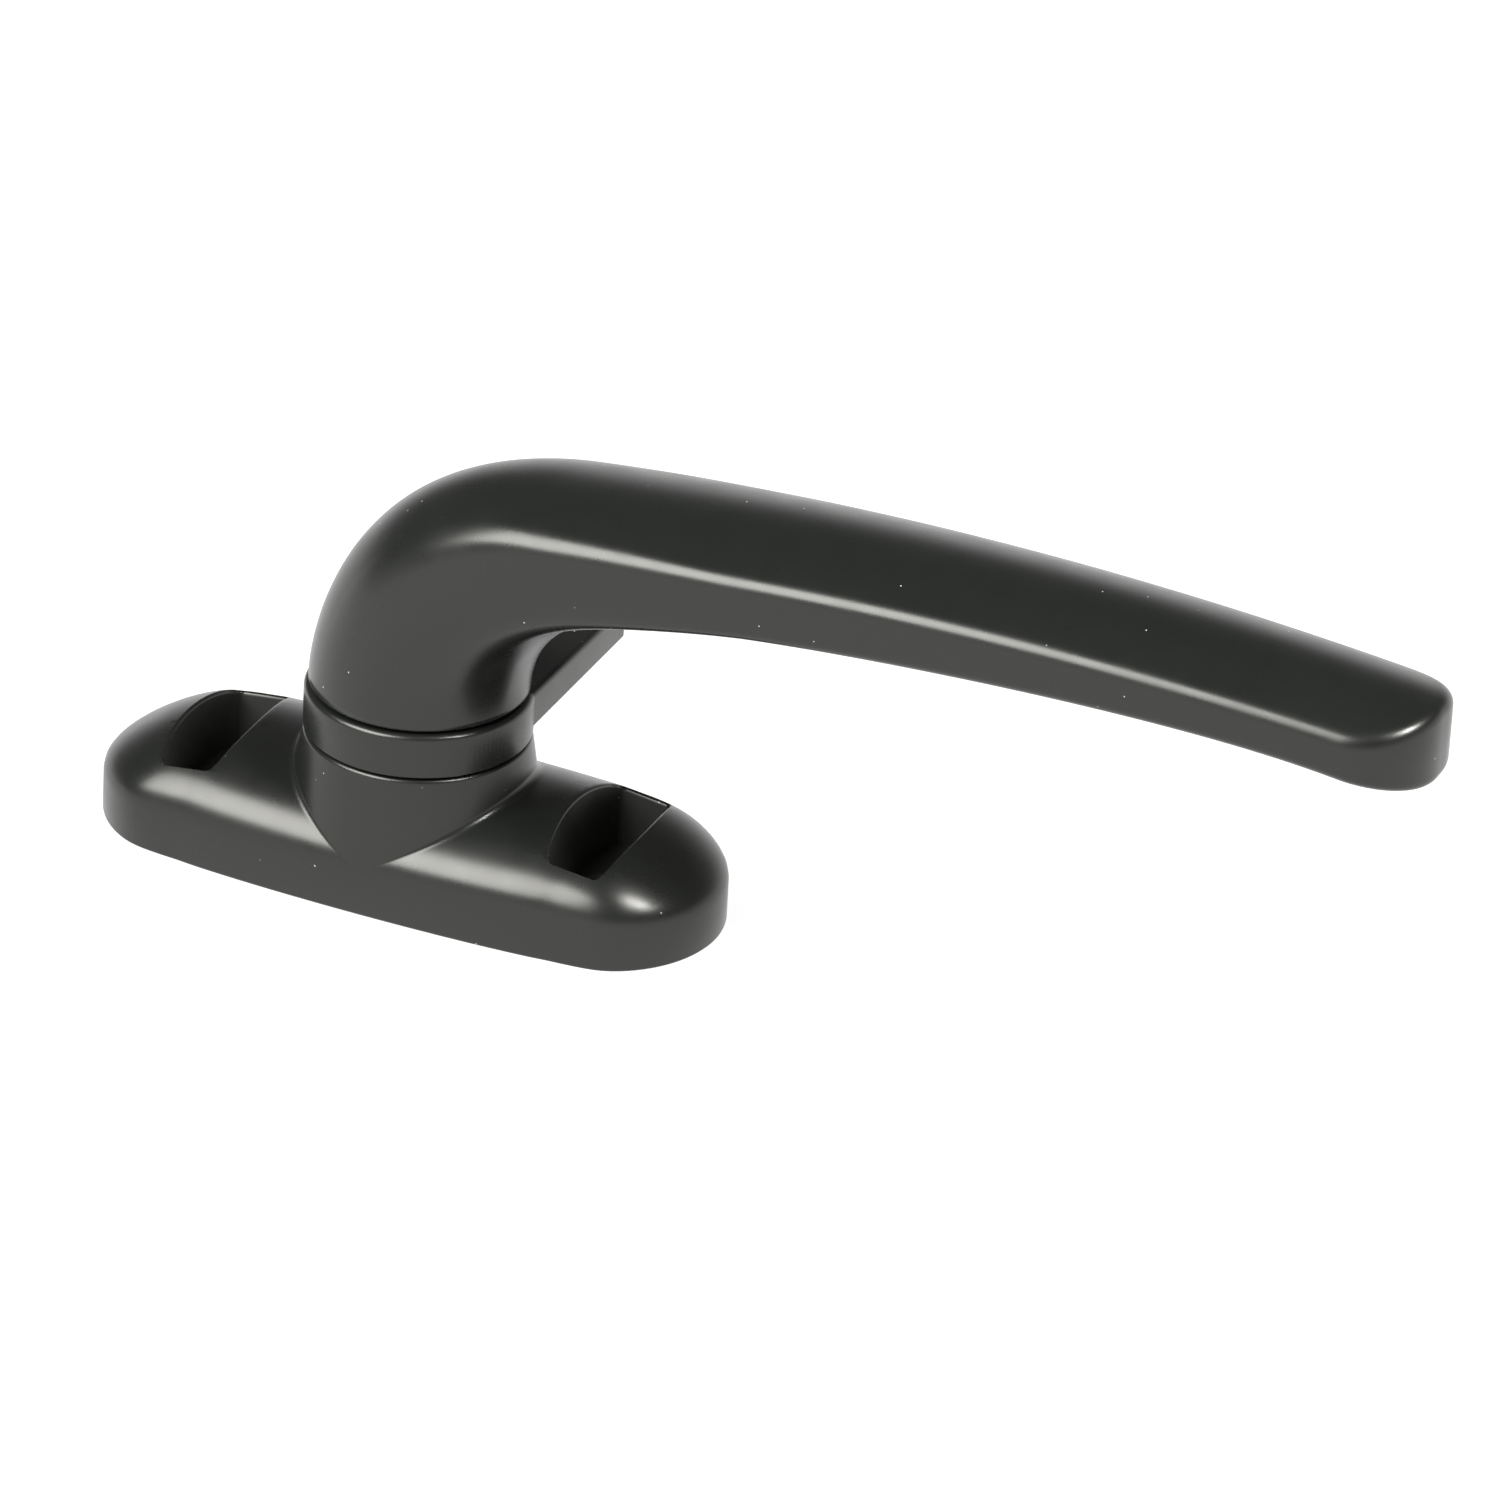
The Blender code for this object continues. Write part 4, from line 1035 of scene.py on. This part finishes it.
# ---- Lever -----------------------------------------------------------------------------------
@dataclass
class Lever:
    """The round neck that bends into the crowned grip."""

    neck_radius: float = 13.5 * MM
    neck_edge: float = 0.15 * MM
    bend_end: float = 45 * MM
    grip_half_width: float = 12.4 * MM
    tip_half_width: float = 10.4 * MM
    tip_corner: float = 9.6 * MM
    crown: float = math.radians(26)
    top_edge: float = 2.8 * MM
    neck_top_edge: float = 11.5 * MM
    low_edge: float = 1.4 * MM
    width_settles: float = 0.57
    bend_steps: int = 64
    arm_steps: int = 44
    tip_steps: int = 22
    line_steps: int = 200
    section_steps: tuple[int, ...] = (14, 10, 8, 6, 8)
    neck_angles: tuple[int, ...] = (0, 45, 65, 112, 132, 180)
    shoulder: tuple[float, ...] = (16.1 * MM, 31.8 * MM, 0.087, 24.4 * MM, 18.6 * MM)
    upper_tip: tuple[float, ...] = (31.6 * MM, -0.111, 57.2 * MM)
    upper_neck_pull: float = 7.8 * MM
    throat: tuple[float, ...] = (47 * MM, 23.2 * MM, 0.103, 8 * MM, 20.8 * MM)
    lower_tip: tuple[float, ...] = (21.6 * MM, -0.417, 13.6 * MM)
    lower_neck_pull: float = 16.7 * MM
    socket: float = 4.3 * MM
    socket_gap: float = 0.3 * MM
    screw_room: float = 2.7 * MM
    screw_height: float = 31 * MM
    screw_start: float = 2 * MM
    screw_mouth: float = 0.9 * MM
    screw_flare: float = 2 * MM
    merge_distance: float = 0.001 * MM
    sharp_angle: float = 50

    def line(self, start_x: float, pull: float, knot: tuple[float, ...],
             tip: tuple[float, ...]) -> list[Flat]:
        """One line of the lever in side view.

        Args:
            start_x: X where it leaves the neck's foot, upright.
            pull: The length of its first handle.
            knot: X, rise, slope and both handle lengths of its middle knot.
            tip: Rise, slope and handle length at the tip.

        Returns:
            Fine (x, z) points from the neck's foot to the tip.
        """
        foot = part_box("lever")[0][2]
        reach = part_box("lever")[1][0]
        knot_x, knot_rise, slope, back, forward = knot
        tip_rise, tip_slope, tip_pull = tip
        start, middle, end = (Vector((start_x, foot)), Vector((knot_x, foot + knot_rise)),
                              Vector((reach, foot + tip_rise)))
        first = interpolate_bezier(start, start + Vector((0, pull)),
                                   middle - back * Vector((1, slope)), middle,
                                   self.line_steps)
        last = interpolate_bezier(middle, middle + forward * Vector((1, slope)),
                                  end - tip_pull * Vector((1, tip_slope)), end,
                                  self.line_steps)
        return [(point.x, point.y) for point in first + last[1:]]

    def section(self, half_width: float, half_height: float, edge: float) -> list[Flat]:
        """Half of the grip's section.

        Args:
            half_width: Half the grip's width.
            half_height: Half its height.
            edge: The radius of its top edge.

        Returns:
            The (outward, height) points from the crown down to the middle of the underside.
        """
        reach = half_width - edge * (1 - math.sin(self.crown))
        sag = 0.5 * reach * math.tan(self.crown)
        centre = half_height - sag - edge * math.cos(self.crown)
        foot = self.low_edge - half_height
        crown, top, side, low, under = self.section_steps
        points = [(reach * k / crown, half_height - sag * (k / crown) ** 2) for k in range(crown)]
        for k in range(top):
            turn = self.crown + (0.5 * math.pi - self.crown) * k / top
            points.append((half_width - edge * (1 - math.sin(turn)),
                           centre + edge * math.cos(turn)))
        points += [(half_width, centre + (foot - centre) * k / side) for k in range(side)]
        for k in range(low):
            turn = 0.5 * math.pi * k / low
            points.append((half_width - self.low_edge * (1 - math.cos(turn)),
                           foot - self.low_edge * math.sin(turn)))
        flat = half_width - self.low_edge
        return points + [(flat * (1 - k / under), -half_height) for k in range(under + 1)]

    def neck_section(self, half_width: float, half_height: float) -> list[Flat]:
        """Half of the round neck's section, with as many points as the grip's.

        Args:
            half_width: Half the neck's width.
            half_height: Half its height.

        Returns:
            The (outward, height) points from the top down to the bottom.
        """
        points = []
        for steps, start, end in zip(self.section_steps, self.neck_angles, self.neck_angles[1:]):
            for k in range(steps):
                turn = math.radians(start + (end - start) * k / steps)
                points.append((half_width * math.sin(turn), half_height * math.cos(turn)))
        return points + [(0.0, -half_height)]

    def ring(self, low: Flat, top: Flat, half_width: float, edge: float,
             squareness: float) -> list[Point]:
        """One whole ring between the lever's lower and upper line.

        Args:
            low: The ring's lowest point in side view.
            top: Its highest point in side view.
            half_width: Half its width.
            edge: The radius of its top edge.
            squareness: 0 for the neck's round section, 1 for the grip's.

        Returns:
            The ring's points, from the crown down the front and up the back.
        """
        half_height = 0.5 * math.dist(low, top)
        middle = (0.5 * (low[0] + top[0]), 0.5 * (low[1] + top[1]))
        up = ((top[0] - low[0]) / (2 * half_height), (top[1] - low[1]) / (2 * half_height))
        boxy = self.section(half_width, half_height, edge)
        round_ = self.neck_section(half_width, half_height)
        half = [(r[0] + (b[0] - r[0]) * squareness, r[1] + (b[1] - r[1]) * squareness)
                for r, b in zip(round_, boxy)]
        front = [(middle[0] + up[0] * h, -w, middle[1] + up[1] * h) for w, h in half]
        return front + [(x, -y, z) for x, y, z in reversed(front[1:-1])]

    def rings(self, top_line: list[Flat], low_line: list[Flat]) -> list[list[Point]]:
        """The rings from the neck's foot to the start of the rounded tip.

        Args:
            top_line: The lever's upper line.
            low_line: The lever's lower line.

        Returns:
            The rings in order.
        """
        top_bend, low_bend = upto(top_line, self.bend_end), upto(low_line, self.bend_end)
        rings = []
        stations = zip(even_points(low_bend, self.bend_steps),
                       even_points(top_bend, self.bend_steps))
        for step, (low, top) in enumerate(stations):
            share = step / self.bend_steps
            width = mixed(self.neck_radius, self.grip_half_width, share / self.width_settles)
            edge = mixed(self.neck_top_edge, self.top_edge, share)
            rings.append(self.ring(low, top, width, edge, mixed(0, 1, share)))
        scale = (self.neck_radius - self.neck_edge) / self.neck_radius
        foot = [(x * scale, y * scale, z) for x, y, z in rings[0]]
        rings[0] = [(x, y, z + self.neck_edge) for x, y, z in rings[0]]
        tip_start = top_line[-1][0] - self.tip_corner
        for step in range(1, self.arm_steps + 1):
            share = step / self.arm_steps
            x = self.bend_end + (tip_start - self.bend_end) * share
            width = self.grip_half_width + (self.tip_half_width - self.grip_half_width) * share
            low, top = upto(low_line, x)[-1], upto(top_line, x)[-1]
            rings.append(self.ring(low, top, width, self.top_edge, 1.0))
        return [foot] + rings

    def crown_drop(self, y: float) -> float:
        """How far the tip's crowned top lies below its middle line."""
        reach = self.tip_half_width - self.top_edge * (1 - math.sin(self.crown))
        return 0.5 * math.tan(self.crown) * y ** 2 / reach

    def tip_chains(self, top_line: list[Flat], low_line: list[Flat]) -> list[list[Point]]:
        """Half sections carried round the tip.

        Args:
            top_line: The lever's upper line.
            low_line: The lever's lower line.

        Returns:
            The chains of points from the crown to the underside, from the front side round
            to the back side.
        """
        reach = top_line[-1][0]
        start = reach - self.tip_corner
        height = upto(top_line, start)[-1][1] - upto(low_line, start)[-1][1]
        half = self.section(self.tip_half_width, 0.5 * height, self.top_edge)
        first, last = self.section_steps[0], len(half) - 1 - self.section_steps[-1]
        above = first + self.section_steps[1]
        core = self.tip_half_width - self.tip_corner
        chains = []
        for step in range(1, self.tip_steps + 1):
            turn = 0.5 * math.pi * step / self.tip_steps
            out_x, out_y = math.sin(turn), -math.cos(turn)
            rim_x, rim_y = start + self.tip_corner * out_x, self.tip_corner * out_y - core
            chain = []
            for index, (outward, z) in enumerate(half):
                edge = half[min(max(index, first), last)][0]
                share = outward / edge if index < first or index > last else 1.0
                inset = self.tip_half_width - edge
                x = start + (rim_x - out_x * inset - start) * share
                y = (rim_y - out_y * inset) * share
                if index < above:
                    rise = upto(top_line, x)[-1][1] - 0.5 * height
                    rise += self.crown_drop(outward) - self.crown_drop(y)
                else:
                    rise = upto(low_line, x)[-1][1] + 0.5 * height
                chain.append((x, y, z + rise))
            chains.append(chain)
        return chains + [[(x, -y, z) for x, y, z in chain] for chain in reversed(chains)]

    def body(self) -> bpy.types.Object:
        """Grows the lever from the neck's foot, and carries its section round the tip.

        Returns:
            The lever without its socket.
        """
        top_line = self.line(-self.neck_radius, self.upper_neck_pull, self.shoulder,
                             self.upper_tip)
        low_line = self.line(self.neck_radius, self.lower_neck_pull, self.throat, self.lower_tip)
        rings = self.rings(top_line, low_line)
        lever = start_solid("lever_casting", rings[0])
        grow(lever, rings[1:])
        bpy.ops.mesh.delete(type="ONLY_FACE")
        half = sum(self.section_steps)
        last = rings[-1]
        self.take_front_chain(lever, last, half)
        back = [last[0]] + list(reversed(last[half:]))
        grow(lever, self.tip_chains(top_line, low_line) + [back])
        bpy.ops.mesh.select_all(action="SELECT")
        bpy.ops.mesh.remove_doubles(threshold=self.merge_distance)
        return end_solid(lever)

    def take_front_chain(self, lever: bpy.types.Object, ring: list[Point], half: int) -> None:
        """Selects the edges along the front half of the last ring, in edit mode.

        Args:
            lever: The lever in edit mode.
            ring: The last ring's points.
            half: The number of the ring's lowest point.
        """
        mesh = bmesh.from_edit_mesh(lever.data)
        number = mesh.verts.layers.int["number"]
        for edge in mesh.edges:
            edge.select = False
        for vert in mesh.verts:
            place = Vector(ring[vert[number]])
            near = (vert.co - place).length < self.merge_distance
            vert.select = vert[number] <= half and near
        mesh.select_flush(True)
        bmesh.update_edit_mesh(lever.data)

    def build(self, coat: bpy.types.Material) -> None:
        """Makes the lever with its blind socket and its set screw's hole, and dresses it.

        Args:
            coat: Its finish.
        """
        lever = self.body()
        foot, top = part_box("lever")[0][2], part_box("spindle")[1][2] + self.socket_gap
        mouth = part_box("lever_set_screw")[1][1] + self.screw_mouth
        flared = [(self.screw_room, self.screw_start), (self.screw_room, mouth),
                  (self.screw_room + self.screw_flare, mouth + self.screw_flare)]
        rings = [[(x, y, z + self.screw_height) for x, z in circle(radius, SCREW_STEPS)]
                 for radius, y in flared]
        cutters = [prism("socket_cutter", square_outline(self.socket), foot - THROUGH, top),
                   solid("screw_cutter", rings)]
        combine(lever, cutters)
        smooth(lever, self.sharp_angle)
        dressed(lever, coat, Body.HANDLE, Slot.POWDER_COAT, "lever")


def mixed(start: float, end: float, share: float) -> float:
    """Goes smoothly from one value to another, level at both ends."""
    share = min(max(share, 0.0), 1.0)
    return start + (end - start) * share * share * (3 - 2 * share)


def upto(line: list[Flat], x: float) -> list[Flat]:
    """Gives the part of a line up to one X.

    Args:
        line: The line, with X growing along it.
        x: Where the part ends.

    Returns:
        The part's points, with the one at that X last.
    """
    x = min(x, line[-1][0] - JUST_SHORT)
    before = [point for point in line if point[0] < x]
    (x0, z0), (x1, z1) = before[-1], line[len(before)]
    return before + [(x, z0 + (z1 - z0) * (x - x0) / (x1 - x0))]


# ---- Small visible parts and the mechanism ---------------------------------------------------
@dataclass
class Mechanism:
    """The steel and acetal parts in the base, and the screws that show."""

    kept: tuple[tuple[Slot, tuple[str, ...]], ...] = (
        (Slot.PLATED_STEEL, ("spindle", "flat_washer", "stop_disc", "stop_pin",
                             "retaining_screw", "base_cover", "cover_screw_1", "cover_screw_2",
                             "cover_screw_3", "cover_screw_4", "lever_set_screw")),
        (Slot.SPRING_STEEL, ("index_spring_front", "index_spring_rear", "wave_washer")),
        (Slot.ACETAL, ("spindle_bush", "thrust_washer", "index_cam")))

    def build(self, finishes: dict[Slot, bpy.types.Material]) -> None:
        """Dresses each kept node with the finish of its slot.

        Args:
            finishes: The material for each slot.
        """
        for slot, names in self.kept:
            for name in names:
                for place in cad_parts[name].material_slots:
                    place.material = finishes[slot]
                log.info("%s: dressed as %s", name, slot.value)


# ---- Studio ----------------------------------------------------------------------------------
def towards(azimuth: float, elevation: float) -> Vector:
    """Gives a direction from the origin.

    Args:
        azimuth: Its angle in plan, in degrees from straight ahead towards X.
        elevation: Its angle above the floor in degrees.

    Returns:
        The unit direction.
    """
    a, e = math.radians(azimuth), math.radians(elevation)
    return Vector((math.sin(a) * math.cos(e), -math.cos(a) * math.cos(e), math.sin(e)))


@dataclass(frozen=True)
class SoftBox:
    """One soft rectangular light that faces the handle."""

    name: str
    azimuth: float
    elevation: float
    size: Flat
    power: float
    distance: float = 1.3

    def build(self) -> None:
        """Adds the light."""
        data = bpy.data.lights.new(self.name, "AREA")
        data.shape = "RECTANGLE"
        data.size, data.size_y = self.size
        data.energy = self.power
        light = bpy.data.objects.new(self.name, data)
        out = towards(self.azimuth, self.elevation)
        light.location = out * self.distance
        light.rotation_euler = (-out).to_track_quat("-Z", "Y").to_euler()
        bpy.context.collection.objects.link(light)


@dataclass
class Studio:
    """A pale softly lit floor, two soft boxes, a pale horizon and the camera."""

    azimuth: float = 22.922
    elevation: float = 28.647
    roll: float = 3.275
    distance: float = 1258.246 * MM
    aim_right: float = 41.153 * MM
    aim_up: float = 13.307 * MM
    lens: float = 247.49
    sensor: float = 36.0
    nearest: float = 0.05
    farthest: float = 40.0
    floor_size: float = 12.0
    floor_drop: float = 0.05 * MM
    floor_colour: Point = (0.16, 0.16, 0.16)
    floor_fade: float = 0.985
    floor_waves: float = 3.0
    floor_roughness: float = 0.9
    floor_glow: float = 0.97
    horizon: float = 1.2
    zenith: float = 0.10
    band_top: float = 0.44
    left_flag: float = 0.30
    flag_span: Flat = (-0.45, -1.0)
    soft_boxes: tuple[SoftBox, ...] = (
        SoftBox("left_soft_box", -32, 42, (1.0, 0.74), 34),
        SoftBox("right_soft_box", 82, 52, (0.34, 0.34), 21))

    def camera(self) -> None:
        """Places the camera by its azimuth, elevation and roll about the origin."""
        back = towards(self.azimuth, self.elevation)
        a, r = math.radians(self.azimuth), math.radians(self.roll)
        level_right = Vector((math.cos(a), math.sin(a), 0))
        level_up = back.cross(level_right)
        right = level_right * math.cos(r) + level_up * math.sin(r)
        up = level_up * math.cos(r) - level_right * math.sin(r)
        place = right * self.aim_right + up * self.aim_up + back * self.distance
        data = bpy.data.cameras.new("studio_camera")
        data.lens = self.lens
        data.sensor_width = self.sensor
        data.clip_start, data.clip_end = self.nearest, self.farthest
        camera = bpy.data.objects.new("studio_camera", data)
        camera.matrix_world = Matrix.Translation(place) @ Matrix(
            (right, up, back)).transposed().to_4x4()
        bpy.context.collection.objects.link(camera)
        bpy.context.scene.camera = camera

    def floor(self) -> None:
        """Adds the plain pale floor just under the base."""
        deselect_all()
        bpy.ops.mesh.primitive_plane_add(size=self.floor_size, location=(0, 0, -self.floor_drop))
        floor = bpy.context.object
        floor.name = "floor"
        bpy.ops.object.transform_apply(location=True, rotation=False, scale=False)
        tree = NodeTree("white_floor")
        faded = tuple(self.floor_fade * value for value in self.floor_colour)
        soft = tree.mixed(tree.noise(self.floor_waves, 1), self.floor_colour, faded)
        tree.join(soft, tree.shader.inputs["Base Color"])
        tree.shader.inputs["Roughness"].default_value = self.floor_roughness
        tree.shader.inputs["Specular IOR Level"].default_value = 0.0
        tree.shader.inputs["Emission Color"].default_value = (1, 1, 1, 1)
        tree.shader.inputs["Emission Strength"].default_value = self.floor_glow
        floor.data.materials.append(tree.material)

    def world(self) -> None:
        """Makes the surroundings: a bright band at the horizon, lower on the left."""
        world = bpy.data.worlds.new("studio_world")
        world.use_nodes = True
        bpy.context.scene.world = world
        nodes, links = world.node_tree.nodes, world.node_tree.links
        place = nodes.new("ShaderNodeTexCoord")
        split = nodes.new("ShaderNodeSeparateXYZ")
        ramp = nodes.new("ShaderNodeMapRange")
        ramp.interpolation_type = "SMOOTHSTEP"
        ramp.inputs["From Min"].default_value = 0.0
        ramp.inputs["From Max"].default_value = self.band_top
        ramp.inputs["To Min"].default_value = self.horizon
        ramp.inputs["To Max"].default_value = self.zenith
        flag = nodes.new("ShaderNodeMapRange")
        flag.inputs["From Min"].default_value = self.flag_span[0]
        flag.inputs["From Max"].default_value = self.flag_span[1]
        flag.inputs["To Max"].default_value = self.left_flag
        height = nodes.new("ShaderNodeMath")
        links.new(place.outputs["Generated"], split.inputs["Vector"])
        links.new(split.outputs["X"], flag.inputs["Value"])
        links.new(flag.outputs["Result"], height.inputs[0])
        links.new(split.outputs["Z"], height.inputs[1])
        links.new(height.outputs["Value"], ramp.inputs["Value"])
        links.new(ramp.outputs["Result"], nodes["Background"].inputs["Strength"])
        nodes["Background"].inputs["Color"].default_value = (1, 1, 1, 1)

    def build(self) -> None:
        """Sets up the whole studio."""
        self.floor()
        self.world()
        self.camera()
        for soft_box in self.soft_boxes:
            soft_box.build()
        bpy.context.scene.view_settings.view_transform = "Standard"


def main() -> None:
    """Builds the handle's pieces in order, then the studio."""
    logging.basicConfig(level=logging.INFO, format="%(message)s")
    inner_coat = PowderCoat(colour=(0.017, 0.018, 0.016), faded=(0.030, 0.031, 0.028),
                            roughness=(0.36, 0.55), drift_waves=420.0,
                            drift_height=0.03 * MM)
    finishes = {
        Slot.POWDER_COAT: PowderCoat().material("satin_powder_coat"),
        Slot.PLATED_STEEL: Metal((0.60, 0.60, 0.57), (0.66, 0.62, 0.50),
                                 (0.24, 0.36)).material("zinc_plated_steel"),
        Slot.SPRING_STEEL: Metal((0.20, 0.22, 0.27), (0.30, 0.28, 0.26),
                                 (0.22, 0.34), (24, 1, 1)).material("blued_spring_steel"),
        Slot.ACETAL: Acetal().material("natural_acetal_finish"),
    }
    coat = finishes[Slot.POWDER_COAT]
    Base().build(coat, inner_coat.material("rough_inner_coat"))
    NoseRing().build(coat)
    Lever().build(coat)
    Mechanism().build(finishes)
    Studio().build()


if __name__ == "__main__":
    main()
